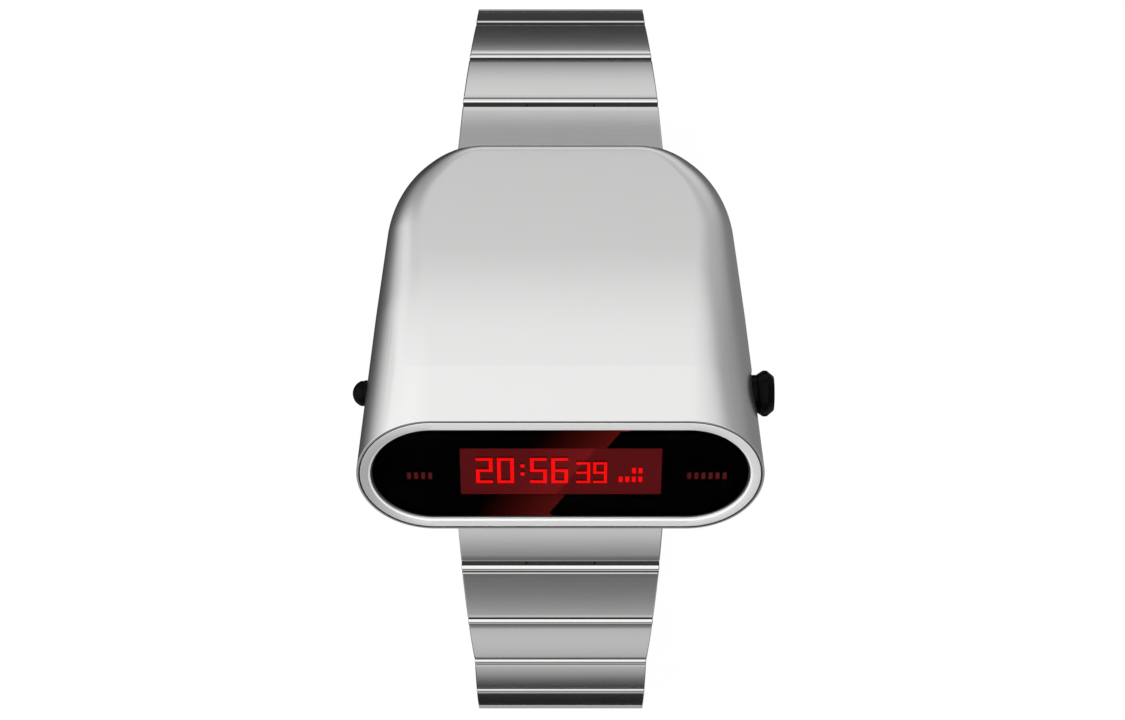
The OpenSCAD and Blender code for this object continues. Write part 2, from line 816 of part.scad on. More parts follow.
module spring_bar(half_len, tip_len) {
    rotate([0, 90, 0]) {
        cylinder(2 * half_len, r = bar_r, center = true, $fn = round_fn);
        cylinder(2 * (half_len + tip_len), r = bar_tip_r, center = true, $fn = round_fn);
        for (side = [-1, 1]) translate([0, 0, side * (half_len - 0.9)])
            cylinder(0.5, r = bar_r + 0.03, center = true, $fn = round_fn);
    }
}

module front_spring_bar() {
    color("gainsboro") at_front([-front_bar_y, bar_z], 0)
        spring_bar(bar_half_len, slot_half_w - bar_half_len + bar_tip_reach);
}

module rear_spring_bar() {
    color("gainsboro") at_rear([rear_bar_y, bar_z], 0)
        spring_bar(bar_half_len, slot_half_w - bar_half_len + bar_tip_reach);
}

module clasp_spring_bar() {
    color("gainsboro") at_front([last_y(front_path), last_z(front_path)], front_path[front_count - 1][2])
        spring_bar(strand_w / 2 - 0.4, 0.45);
}

// Plan outline of a link, wider at the case
module link_plan(w0, w1) {
    polygon([
        [-w0 / 2, -2], [-w0 / 2, 0], [-w1 / 2, link_pitch], [-w1 / 2, link_pitch + 2],
        [w1 / 2, link_pitch + 2], [w1 / 2, link_pitch], [w0 / 2, 0], [w0 / 2, -2]
    ]);
}

// Section of a plate: arched outside, with a bevel at its outer end, and flat towards the case or the clasp
module plate_section(kind) {
    half = link_t / 2;
    start = kind == "first" ? 0 : plate_start;
    intersection() {
        polygon([
            [start, -half], [under_end - inner_bevel, -half], [under_end, -half + inner_bevel],
            [under_end, lip_n], [plate_end, lip_n], [plate_end, half - end_bevel],
            [plate_end - end_bevel, half], [start, half]
        ]);
        union() {
            translate([plate_mid, half - arch_r]) circle(arch_r, $fn = 720);
            if (kind == "first") translate([0, -half]) square([plate_mid, link_t]);
            if (kind == "last") translate([plate_mid, -half]) square([plate_reach, link_t]);
        }
    }
}

module link_bead() {
    circle(ear_r, $fn = round_fn);
    translate([0, bead_n]) circle(bead_r, $fn = round_fn);
    translate([0, -link_t / 2 + inner_bevel]) square([plate_start, groove_n + link_t / 2 - inner_bevel]);
}

module tongue() {
    across(2 * tongue_half_w) {
        translate([link_pitch, 0]) circle(tongue_r, $fn = round_fn);
        translate([under_end - 0.4, -tongue_r]) square([link_pitch - under_end + 0.4, 2 * tongue_r]);
    }
}

module pin_hole(place, r) {
    translate([0, place, 0]) rotate([0, 90, 0]) cylinder(through_len, r = r, center = true, $fn = round_fn);
}

// Room for the tongue of the link before
module tongue_recess() {
    across(2 * tongue_half_w + 2 * side_gap) {
        circle(recess_r, $fn = round_fn);
        translate([-3, -3]) square([3, 3 + recess_r]);
    }
}

module link_pin(width) {
    rotate([0, 90, 0]) cylinder(width - 2 * pin_inset, r = pin_r, center = true, $fn = round_fn);
}

// One link of the bracelet: kind is first, middle or last
module link(i, kind) {
    w0 = strand_width(i);
    w1 = strand_width(i + 1);
    has_bead = kind != "first";
    has_tongue = kind != "last";
    difference() {
        intersection() {
            union() {
                across(lug_w) {
                    plate_section(kind);
                    if (has_bead) link_bead();
                    if (!has_bead) circle(knuckle_r, $fn = round_fn);
                    if (!has_tongue) translate([link_pitch, 0]) circle(knuckle_r, $fn = round_fn);
                    if (!has_tongue) translate([under_end - 1, -knuckle_r + 0.1])
                        square([link_pitch - under_end + 1, 2 * knuckle_r - 0.2]);
                }
                if (has_tongue) tongue();
            }
            linear_extrude(2 * link_t, center = true) link_plan(w0, w1);
        }
        if (has_bead) tongue_recess();
        if (has_bead) pin_hole(0, pin_r + press_gap);
        if (!has_bead) pin_hole(0, bar_r + run_gap + 0.03);
        if (has_tongue) pin_hole(link_pitch, pin_r + run_gap);
        if (!has_tongue) pin_hole(link_pitch, bar_r + run_gap + 0.03);
    }
    if (has_bead) link_pin(w0);
}

module rear_link(i) {
    color("silver") at_rear(rear_path[i], rear_path[i][2]) link(i, i == 0 ? "first" : "middle");
}

module front_link(i) {
    color("silver") at_front(front_path[i], front_path[i][2])
        link(i, i == 0 ? "first" : (i == front_count - 1 ? "last" : "middle"));
}

// Clasp, drawn along u from the rear strand to the front strand

module clasp_inner_blade() {
    color("lightgray") at_clasp() {
        difference() {
            union() {
                across(blade_w) {
                    circle(ear_r, $fn = round_fn);
                    polygon([
                        [0, -ear_r], [1, inner_blade_n], [fold_u - fold_r - 0.1, inner_blade_n],
                        [fold_u - fold_r - 0.1, inner_blade_n + blade_t], [1.6, inner_blade_n + blade_t],
                        [0.5, ear_r - 0.2]
                    ]);
                }
                across(blade_w / 2 - side_gap) {
                    translate([fold_u, fold_n]) circle(fold_r, $fn = round_fn);
                    polygon([
                        [fold_u - fold_r - 0.6, inner_blade_n], [fold_u, fold_n - fold_r], [fold_u, fold_n],
                        [fold_u - fold_r - 0.6, inner_blade_n + blade_t]
                    ]);
                }
            }
            tongue_recess();
            pin_hole(0, pin_r + press_gap);
            translate([0, 0, fold_n]) pin_hole(fold_u, pin_r + run_gap);
        }
        link_pin(blade_w);
    }
}

module clasp_fold_pin() {
    color("gainsboro") at_clasp() translate([0, fold_u, fold_n]) link_pin(blade_w);
}

module clasp_outer_blade() {
    high = outer_blade_n + blade_t;
    color("lightgray") at_clasp() difference() {
        across(blade_w) {
            translate([fold_u, fold_n]) circle(fold_r, $fn = round_fn);
            translate([hinge_u, hinge_n]) circle(hinge_r, $fn = round_fn);
            polygon([
                [hinge_u, outer_blade_n], [fold_u - 0.3, outer_blade_n], [fold_u, fold_n + 0.2],
                [fold_u, fold_n + fold_r], [fold_u - 0.8, high], [hinge_u, high]
            ]);
        }
        translate([0, fold_u, 0]) across(blade_w / 2 + side_gap)
            translate([-fold_r - 0.5, -3]) square([fold_r + 3, 8]);
        translate([0, 0, fold_n]) pin_hole(fold_u, pin_r + press_gap);
        translate([0, 0, hinge_n]) pin_hole(hinge_u, pin_r + run_gap);
    }
}

module clasp_hinge_pin() {
    color("gainsboro") at_clasp() translate([0, hinge_u, hinge_n]) rotate([0, 90, 0])
        cylinder(2 * (cover_half_w + cover_t) - 0.4, r = pin_r, center = true, $fn = round_fn);
}

module release_bore() {
    translate([0, release_u, release_n]) rotate([0, 90, 0])
        cylinder(through_len, r = release_r + run_gap, center = true, $fn = round_fn);
}

module clasp_cover() {
    outer_w = 2 * (cover_half_w + cover_t);
    roof_top = roof_n + cover_t;
    color("silver") at_clasp() difference() {
        union() {
            across(outer_w) polygon([
                [roof_start, roof_n], [roof_end, roof_n], [roof_end, roof_top - 0.3], [roof_end - 0.3, roof_top],
                [roof_start + 0.3, roof_top], [roof_start, roof_top - 0.3]
            ]);
            both_sides() translate([cover_half_w + cover_t / 2, 0, 0]) across(cover_t) {
                polygon([
                    [roof_start, wall_low_n + 0.6], [roof_start + 0.6, wall_low_n],
                    [clasp_span, wall_low_n], [clasp_span, ear_reach], [roof_end, roof_top - 0.3],
                    [roof_start, roof_top - 0.3]
                ]);
                translate([clasp_span, 0]) circle(ear_reach, $fn = round_fn);
            }
        }
        pin_hole(clasp_span, bar_tip_r + run_gap);
        translate([0, 0, hinge_n]) pin_hole(hinge_u, pin_r + press_gap);
        release_bore();
    }
}

module release_button() {
    translate([0, release_u, release_n]) rotate([0, 90, 0]) {
        translate([0, 0, cover_half_w - 0.6]) cylinder(cover_t + release_proud + 0.6, r = release_r, $fn = round_fn);
        translate([0, 0, cover_half_w - 0.6]) cylinder(0.6 - skin, r = release_flange_r, $fn = round_fn);
    }
}

module clasp_right_release() {
    color("silver") at_clasp() release_button();
}

module clasp_left_release() {
    color("silver") at_clasp() mirror([1, 0, 0]) release_button();
}

case_shell();
case_back();
case_back_screws();
case_back_gasket();
lens_ring();
lens();
lens_gasket();
mask_plate();
red_filter();
display_board();
display_digits();
display_flex();
module_frame();
circuit_board();
board_screws();
processor_chip();
crystal_can();
trimmer();
battery_cells();
battery_contact();
battery_strap();
switch_contacts();
left_button();
left_button_spring();
left_button_seal();
left_button_clip();
right_button();
right_button_spring();
right_button_seal();
right_button_clip();
front_spring_bar();
rear_spring_bar();
front_link(0);  // front_link_1
front_link(1);  // front_link_2
front_link(2);  // front_link_3
front_link(3);  // front_link_4
front_link(4);  // front_link_5
front_link(5);  // front_link_6
front_link(6);  // front_link_7
front_link(7);  // front_link_8
front_link(8);  // front_link_9
rear_link(0);  // rear_link_1
rear_link(1);  // rear_link_2
rear_link(2);  // rear_link_3
rear_link(3);  // rear_link_4
rear_link(4);  // rear_link_5
rear_link(5);  // rear_link_6
rear_link(6);  // rear_link_7
rear_link(7);  // rear_link_8
rear_link(8);  // rear_link_9
clasp_inner_blade();
clasp_outer_blade();
clasp_cover();
clasp_fold_pin();
clasp_hinge_pin();
clasp_spring_bar();
clasp_left_release();
clasp_right_release();
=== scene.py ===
import json
import math
from contextlib import contextmanager

import bmesh
import bpy
import numpy as np
from mathutils import Matrix, Vector

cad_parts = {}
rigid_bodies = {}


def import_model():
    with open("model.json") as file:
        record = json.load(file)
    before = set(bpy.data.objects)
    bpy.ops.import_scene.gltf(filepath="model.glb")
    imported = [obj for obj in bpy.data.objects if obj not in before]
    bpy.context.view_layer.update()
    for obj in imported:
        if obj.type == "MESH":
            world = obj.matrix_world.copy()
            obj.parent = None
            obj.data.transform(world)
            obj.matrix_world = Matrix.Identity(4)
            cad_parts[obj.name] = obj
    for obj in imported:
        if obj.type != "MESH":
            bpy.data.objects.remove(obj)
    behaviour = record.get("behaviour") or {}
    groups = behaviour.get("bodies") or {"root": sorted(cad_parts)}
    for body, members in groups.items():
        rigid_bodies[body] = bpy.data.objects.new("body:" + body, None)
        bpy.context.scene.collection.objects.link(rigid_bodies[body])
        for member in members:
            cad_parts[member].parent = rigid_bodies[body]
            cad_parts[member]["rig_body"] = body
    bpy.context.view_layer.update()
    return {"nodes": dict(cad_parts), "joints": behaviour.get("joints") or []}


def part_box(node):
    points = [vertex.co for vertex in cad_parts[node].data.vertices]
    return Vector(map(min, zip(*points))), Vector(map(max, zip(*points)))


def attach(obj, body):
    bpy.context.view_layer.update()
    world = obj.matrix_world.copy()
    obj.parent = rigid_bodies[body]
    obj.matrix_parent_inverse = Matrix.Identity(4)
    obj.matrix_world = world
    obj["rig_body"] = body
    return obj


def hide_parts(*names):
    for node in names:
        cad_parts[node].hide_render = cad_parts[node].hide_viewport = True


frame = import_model()
nodes = frame["nodes"]
joints = {joint["name"]: joint for joint in frame["joints"]}
mm = 0.001
print("frame loaded:", len(nodes), "nodes")


def addObject(name, data):
    made = bpy.data.objects.new(name, data)
    bpy.context.scene.collection.objects.link(made)
    return made


# Camera and studio

cameraSetup = dict(
    distance=310,  # mm from the case back to the camera
    lean=5,  # degrees that the camera leans towards the face
    aimUp=-2.09, aimRight=0.21,  # mm in the picture from the case back's middle to the aim
    lens=94.53, sensor=36, nearest=10,  # mm
)


def addCamera():
    form = cameraSetup
    lean = math.radians(form["lean"])
    towards = Vector((0, -math.sin(lean), math.cos(lean)))
    up = Vector((0, math.cos(lean), math.sin(lean)))
    data = bpy.data.cameras.new("camera")
    data.lens, data.sensor_width, data.clip_start = form["lens"], form["sensor"], form["nearest"] * mm
    place = towards * form["distance"] + up * form["aimUp"]
    place.x += form["aimRight"]
    camera = addObject("camera", data)
    camera.location = place * mm
    camera.rotation_euler = (lean, 0, 0)
    bpy.context.scene.camera = camera


addCamera()
bpy.context.scene.view_settings.view_transform = "Standard"

# Node tools


class Tree:
    # A short way to add and join the nodes of one material, world or group
    def __init__(self, tree):
        self.tree = tree

    def add(self, kind, values=None, **settings):
        node = self.tree.nodes.new(kind)
        for name, value in settings.items():
            setattr(node, name, value)
        for name, value in (values or {}).items():
            node.inputs[name].default_value = value
        return node

    def join(self, source, target):
        self.tree.links.new(source, target)

    def feed(self, value, socket):
        # A number or a colour is set on the socket, an output is joined to it
        if isinstance(value, (int, float)):
            socket.default_value = value
        elif isinstance(value, tuple):
            socket.default_value = (*value, 1)
        else:
            self.join(value, socket)

    def math(self, operation, first, second=None, clamp=False):
        node = self.add("ShaderNodeMath", operation=operation, use_clamp=clamp)
        self.feed(first, node.inputs[0])
        if second is not None:
            self.feed(second, node.inputs[1])
        return node.outputs[0]

    def plus(self, first, second):
        return self.math("ADD", first, second)

    def less(self, first, second):
        return self.math("SUBTRACT", first, second)

    def times(self, first, second):
        return self.math("MULTIPLY", first, second)

    def over(self, first, second, clamp=False):
        return self.math("DIVIDE", first, second, clamp)

    def blend(self, factor, first, second):
        # First where the factor is 0, second where it is 1
        return self.plus(self.times(self.less(second, first), factor), first)

    def mix(self, factor, first, second):
        node = self.add("ShaderNodeMix", data_type="RGBA")
        for value, place in zip((factor, first, second), (0, 6, 7)):
            self.feed(value, node.inputs[place])
        return node.outputs[2]

    def scaled(self, colour, share):
        node = self.add("ShaderNodeVectorMath", operation="SCALE")
        self.join(colour, node.inputs[0])
        self.join(share, node.inputs["Scale"])
        return node.outputs[0]

    def place(self, kind="Object"):
        return self.add("ShaderNodeTexCoord").outputs[kind]

    def split(self, vector):
        node = self.add("ShaderNodeSeparateXYZ")
        self.join(vector, node.inputs[0])
        return node.outputs

    def noise(self, scale, detail, roughness=0.5, place=None):
        node = self.add("ShaderNodeTexNoise", {"Detail": detail, "Roughness": roughness})
        self.feed(scale, node.inputs["Scale"])
        self.join(self.place() if place is None else place, node.inputs["Vector"])
        return node.outputs[0]

    def smoothStep(self, value, low, high):
        limits = {"From Min": low, "From Max": high}
        node = self.add("ShaderNodeMapRange", limits, interpolation_type="SMOOTHSTEP")
        self.join(value, node.inputs["Value"])
        return node.outputs[0]

    def bump(self, height, shader, strength, distance):
        node = self.add("ShaderNodeBump", {"Strength": strength, "Distance": distance * mm})
        self.join(height, node.inputs["Height"])
        self.join(node.outputs[0], shader.inputs["Normal"])


# Steel stands in a tent of light, whose brightness depends on the direction alone. Each side of the tent
# has its own run of (degrees from straight up, brightness)
tentSides = dict(
    rear=[(0, 1.08), (28, 1.08), (35, 1.06), (44, 0.94), (53, 0.76), (60, 0.45), (65, 0.31), (75, 0.88),
          (95, 0.87), (104, 0.6), (109, 0.08), (125, 0.04), (180, 0.06)],
    front=[(0, 1.08), (30, 1.0), (44, 0.9), (51, 0.77), (56, 0.4), (61, 0.17), (84, 0.17), (94, 0.26),
           (104, 0.49), (109, 0.72), (120, 0.68), (127, 0.5), (135, 0.1), (143, 0.01), (180, 0.02)],
    right=[(0, 1.08), (20, 0.98), (33, 0.87), (48, 0.86), (55, 0.77), (60, 0.55), (64, 0.37), (72, 0.27),
           (90, 0.25), (180, 0.24)],
    left=[(0, 1.08), (25, 1.2), (40, 1.32), (70, 1.32), (79, 1.05), (91, 0.76), (104, 0.5), (118, 0.26),
          (150, 0.15), (157, 0.04), (180, 0.02)],
)
# A dark panel hangs between the rear and the left side, given in degrees round from the left. Its near edge
# leans: it starts further round where the light comes from higher up
tentPanel = dict(turnFrom=(44, 58), turnTo=(68, 84), tiltFrom=(56, 72), edgeLean=0.7, edgeTilt=70, keeps=0.36)


def tentLight(tree):
    # The weights of the four sides are the squares of the level direction's parts along X and Y
    x, y, z = tree.split(tree.place("Generated"))
    tilt = tree.times(tree.math("ARCCOSINE", z), math.degrees(1))
    flat = tree.math("MAXIMUM", tree.plus(tree.times(x, x), tree.times(y, y)), 1e-5)
    total = 0
    for side, part, sign in (("rear", y, 1), ("front", y, -1), ("right", x, 1), ("left", x, -1)):
        ramp = tree.add("ShaderNodeValToRGB")
        tree.join(tree.over(tilt, 180), ramp.inputs[0])
        stops = ramp.color_ramp.elements
        stops[0].position, stops[1].position = 0, 1
        for degrees, light in tentSides[side]:
            stop = stops[0] if degrees == 0 else stops[-1] if degrees == 180 else stops.new(degrees / 180)
            stop.color = (light, light, light, 1)
        toward = tree.math("MAXIMUM", tree.times(part, sign), 0)
        weight = tree.over(tree.times(toward, toward), flat)
        total = tree.plus(total, tree.times(weight, ramp.outputs[0]))
    panel = tentPanel
    turn = tree.times(tree.math("ARCTAN2", y, tree.times(x, -1)), math.degrees(1))
    lean = tree.times(tree.less(tilt, panel["edgeTilt"]), panel["edgeLean"])
    begun = tree.smoothStep(tree.plus(turn, lean), *panel["turnFrom"])
    ended = tree.smoothStep(turn, *panel["turnTo"])
    within = tree.times(tree.times(begun, tree.less(1, ended)), tree.smoothStep(tilt, *panel["tiltFrom"]))
    return tree.times(total, tree.less(1, tree.times(within, 1 - panel["keeps"])))


def setWorld(soft, white):
    # Soft lights the matt surfaces, and white is what the camera sees behind the object
    world = bpy.data.worlds.new("studio")
    world.use_nodes = True
    bpy.context.scene.world = world
    tree = Tree(world.node_tree)
    back = world.node_tree.nodes["Background"]
    back.inputs["Color"].default_value = (1, 1, 1, 1)
    rays = tree.add("ShaderNodeLightPath").outputs
    shaped = tree.math("MAXIMUM", rays["Is Glossy Ray"], rays["Is Transmission Ray"])
    unseen = tree.blend(shaped, soft, tentLight(tree))
    tree.join(tree.blend(rays["Is Camera Ray"], unseen, white), back.inputs["Strength"])


floorSetup = dict(level=-58.5, reach=6000, white=0.97, shadow=0.03)


def addFloor():
    form = floorSetup
    reach, level = form["reach"] * mm, form["level"] * mm
    mesh = bpy.data.meshes.new("floor")
    corners = [(x * reach, y * reach, level) for x, y in ((-1, -1), (1, -1), (1, 1), (-1, 1))]
    mesh.from_pydata(corners, [], [(0, 1, 2, 3)])
    floor = addObject("floor", mesh)
    floor.visible_glossy = floor.visible_transmission = False  # the tent goes on below it
    material, tree, shader = newMaterial("paleFloor")
    tree.tree.nodes.remove(shader)
    rays = tree.add("ShaderNodeLightPath").outputs
    glow = tree.add("ShaderNodeEmission", {"Color": (1, 1, 1, 1)})
    tree.join(tree.times(rays["Is Camera Ray"], form["white"]), glow.inputs["Strength"])
    matt = tree.add("ShaderNodeBsdfDiffuse", {"Color": (form["shadow"],) * 3 + (1,)})
    both = tree.add("ShaderNodeAddShader")
    tree.join(glow.outputs[0], both.inputs[0])
    tree.join(matt.outputs[0], both.inputs[1])
    tree.join(both.outputs[0], tree.tree.nodes["Material Output"].inputs["Surface"])
    mesh.materials.append(material)


def addLamp(name, place, size, power):
    # It aims at the origin, and the tent alone shapes the reflections
    data = bpy.data.lights.new(name, "AREA")
    data.shape = "RECTANGLE"
    data.size, data.size_y = size[0] * mm, size[1] * mm
    data.energy = power
    lamp = addObject(name, data)
    lamp.location = Vector(place) * mm
    lamp.rotation_euler = Vector(place).to_track_quat("Z", "Y").to_euler()
    lamp.visible_glossy = False


def newMaterial(name, values=None):
    material = bpy.data.materials.new(name)
    material.use_nodes = True
    shader = material.node_tree.nodes["Principled BSDF"]
    for label, value in (values or {}).items():
        shader.inputs[label].default_value = value
    return material, Tree(material.node_tree), shader


setWorld(soft=0.55, white=1.0)
addFloor()
addLamp("keyLamp", (-330, 60, 420), (260, 260), 2.4)
addLamp("topLamp", (40, -60, 620), (300, 200), 2.2)
print("studio set")

# The face's own frame, repeated from the part's driving sizes, in mm
faceForm = dict(width=41.4, height=15.6, lean=41.8, lowZ=3.6, front=19.9, rim=0.3, ring=1.1, gasket=0.2,
                ringDepth=0.8, lensSunk=0.2, lensThick=1.0, maskThick=0.3)
faceRadius = faceForm["height"] / 2
faceReach = (faceForm["width"] - faceForm["height"]) / 2  # from the middle to the centre of a round end
faceLean = math.radians(faceForm["lean"])
across = np.array([1.0, 0, 0])
faceUp = np.array([0, math.sin(faceLean), math.cos(faceLean)])
faceOut = np.array([0, -math.cos(faceLean), math.sin(faceLean)])
faceMiddle = np.array([0, -faceForm["front"], faceForm["lowZ"]]) + faceRadius * faceUp
ringOut = faceRadius - faceForm["rim"]
ringIn = ringOut - faceForm["ring"]
lensRadius = ringIn - faceForm["gasket"]
maskTop = -faceForm["lensSunk"] - faceForm["lensThick"]
shelf = maskTop - faceForm["maskThick"]

# Material effects shared between finishes


def makeGroup(name, inputs, outputs):
    # An input's kind follows from its value
    group = bpy.data.node_groups.new(name, "ShaderNodeTree")
    for label, value in inputs.items():
        kind = "Float" if isinstance(value, float) else "Color" if len(value) == 4 else "Vector"
        socket = group.interface.new_socket(label, in_out="INPUT", socket_type="NodeSocket" + kind)
        socket.default_value = value
    for label in outputs:
        kind = "Color" if label == "Color" else "Float"
        group.interface.new_socket(label, in_out="OUTPUT", socket_type="NodeSocket" + kind)
    tree = Tree(group)
    return group, tree, tree.add("NodeGroupInput").outputs, tree.add("NodeGroupOutput").inputs


def steelGrainGroup():
    # Fine grain stretched by Stretch: it varies the colour, the roughness and the height a little
    group, tree, given, made = makeGroup("steelGrain", {
        "Color": (0.7, 0.7, 0.7, 1), "Roughness": 0.3, "Grain": 8.0, "Stretch": (1, 1, 1), "Contrast": 0.05,
    }, ("Color", "Roughness", "Height"))
    drawn = tree.add("ShaderNodeVectorMath", operation="MULTIPLY")
    tree.join(tree.place(), drawn.inputs[0])
    tree.join(given["Stretch"], drawn.inputs[1])
    grain = tree.noise(tree.times(given["Grain"], 1000), 3.0, 0.6, drawn.outputs[0])
    cloud = tree.noise(160.0, 2.0)
    both = tree.plus(tree.less(grain, 0.5), tree.times(tree.less(cloud, 0.5), 0.5))
    change = tree.times(both, given["Contrast"])
    tree.join(tree.scaled(given["Color"], tree.plus(change, 1)), made["Color"])
    tree.join(tree.times(given["Roughness"], tree.plus(tree.times(change, 2), 1)), made["Roughness"])
    tree.join(grain, made["Height"])
    return group


def mottleGroup():
    # A soft change of colour and roughness for moulded and coated things
    group, tree, given, made = makeGroup("mottle", {
        "Color": (0.5, 0.5, 0.5, 1), "Other": (0.4, 0.4, 0.4, 1), "Scale": 400.0, "Roughness": 0.4,
        "Spread": 0.1,
    }, ("Color", "Roughness", "Height"))
    noise = tree.noise(given["Scale"], 4.0, 0.55)
    tree.join(tree.mix(noise, given["Color"], given["Other"]), made["Color"])
    swing = tree.times(tree.less(noise, 0.5), given["Spread"])
    tree.join(tree.plus(swing, given["Roughness"]), made["Roughness"])
    tree.join(noise, made["Height"])
    return group


def paintedReflectionGroup():
    # A painted reflection: a slanted band of faint red that ends in one clean edge on its right and fades to
    # the left.
    # Lengths are in mm, and Lean is how far the edge moves right for each mm up the face
    group, tree, given, made = makeGroup("paintedSlantedReflection", {
        "Edge": 3.4, "Lean": 0.62, "Fade": 8.2, "Softness": 0.12}, ("Amount",))
    x, y, z = tree.split(tree.place())
    rise = tree.times(tree.less(z, faceMiddle[2] * mm), 1 / faceUp[2])
    edge = tree.plus(tree.times(rise, given["Lean"]), tree.times(given["Edge"], mm))
    depth = tree.over(tree.less(edge, x), mm)
    inside = tree.over(depth, given["Softness"], clamp=True)
    fading = tree.math("SUBTRACT", 1, tree.over(depth, given["Fade"]), clamp=True)
    tree.join(tree.times(inside, tree.math("POWER", fading, 1.5)), made["Amount"])
    return group


steelGrain, mottle, paintedSlantedReflection = steelGrainGroup(), mottleGroup(), paintedReflectionGroup()


def useGroup(tree, shader, group, values, bump, bumpSize):
    # Joins a group's roughness and height to the shader, and leaves its colour to the caller
    made = tree.add("ShaderNodeGroup", node_tree=group)
    for label, value in values.items():
        made.inputs[label].default_value = value
    tree.join(made.outputs["Roughness"], shader.inputs["Roughness"])
    tree.bump(made.outputs["Height"], shader, bump, bumpSize)
    return made.outputs["Color"]


def paintShadeTowardsLeft(tree, colour, start, end, keeps):
    # Paints shade on a colour: darkens it from start to end (mm along X), down to what it keeps
    share = tree.smoothStep(tree.split(tree.place())["X"], end * mm, start * mm)
    return tree.scaled(colour, tree.plus(tree.times(share, 1 - keeps), keeps))


def steel(name, colour, roughness, grain=9.0, stretch=(1, 1, 1), contrast=0.05, bump=0.02, metal=1.0,
          leftPaintedShade=None):
    # A blasted surface scatters like paint, so it has less metal
    material, tree, shader = newMaterial(name, {"Metallic": metal})
    shown = useGroup(tree, shader, steelGrain, {
        "Color": (*colour, 1), "Roughness": roughness, "Grain": grain, "Stretch": stretch,
        "Contrast": contrast}, bump, bumpSize=0.004)
    if leftPaintedShade:
        shown = paintShadeTowardsLeft(tree, shown, *leftPaintedShade)
    tree.join(shown, shader.inputs["Base Color"])
    return material


def moulded(name, colour, other, roughness, scale=400.0, spread=0.1, bump=0.05, shine=0.5):
    material, tree, shader = newMaterial(name, {"Specular IOR Level": shine})
    shown = useGroup(tree, shader, mottle, {
        "Color": (*colour, 1), "Other": (*other, 1), "Scale": scale, "Roughness": roughness,
        "Spread": spread}, bump, bumpSize=0.01)
    tree.join(shown, shader.inputs["Base Color"])
    return material


def glass(name, ior, scale, tint, other, coat=0.0):
    # Coat is the share of the light that an anti-reflection coat lets through without a reflection
    material, tree, shader = newMaterial(name, {
        "Transmission Weight": 1.0, "IOR": ior, "Specular IOR Level": 0.0, "Roughness": 0.0,
        "Specular Tint": (0, 0, 0, 1)})
    colour = tree.mix(tree.noise(scale, 1.0), tint, other)
    tree.join(colour, shader.inputs["Base Color"])
    if coat:
        coated = tree.add("ShaderNodeBsdfRefraction", {"IOR": ior, "Roughness": 0.0})
        tree.join(colour, coated.inputs["Color"])
        both = tree.add("ShaderNodeMixShader", {"Fac": coat})
        tree.join(shader.outputs[0], both.inputs[1])
        tree.join(coated.outputs[0], both.inputs[2])
        tree.join(both.outputs[0], tree.tree.nodes["Material Output"].inputs["Surface"])
    return material


def glowing(name, base, glow, reflectionGlow, roughness=0.35):
    # A dark thing that glows by itself, with a painted slanted reflection added to its glow
    material, tree, shader = newMaterial(name, {
        "Base Color": (*base, 1), "Roughness": roughness, "Emission Strength": 1.0,
        "Specular IOR Level": 0.0})
    reflectionBand = tree.add("ShaderNodeGroup", node_tree=paintedSlantedReflection)
    tone = tree.mix(tree.times(tree.noise(500.0, 2.0), 0.2), glow, tuple(0.8 * v for v in glow))
    tree.join(tree.mix(reflectionBand.outputs["Amount"], tone, reflectionGlow), shader.inputs["Emission Color"])
    return material


def solderMask(name):
    # A green mask over straight copper tracks, drawn by two crossed waves
    material, tree, shader = newMaterial(name, {"Roughness": 0.35})
    place = tree.place()
    waves = []
    for axis, scale, distortion in (("X", 160.0, 2.0), ("Y", 110.0, 3.0)):
        values = {"Scale": scale, "Distortion": distortion}
        wave = tree.add("ShaderNodeTexWave", values, bands_direction=axis)
        tree.join(place, wave.inputs["Vector"])
        waves.append(wave.outputs["Fac"])
    tracks = tree.math("GREATER_THAN", tree.times(*waves), 0.55)
    tree.join(tree.mix(tracks, (0.015, 0.11, 0.04), (0.03, 0.2, 0.07)), shader.inputs["Base Color"])
    tree.bump(tracks, shader, 0.3, 0.02)
    return material


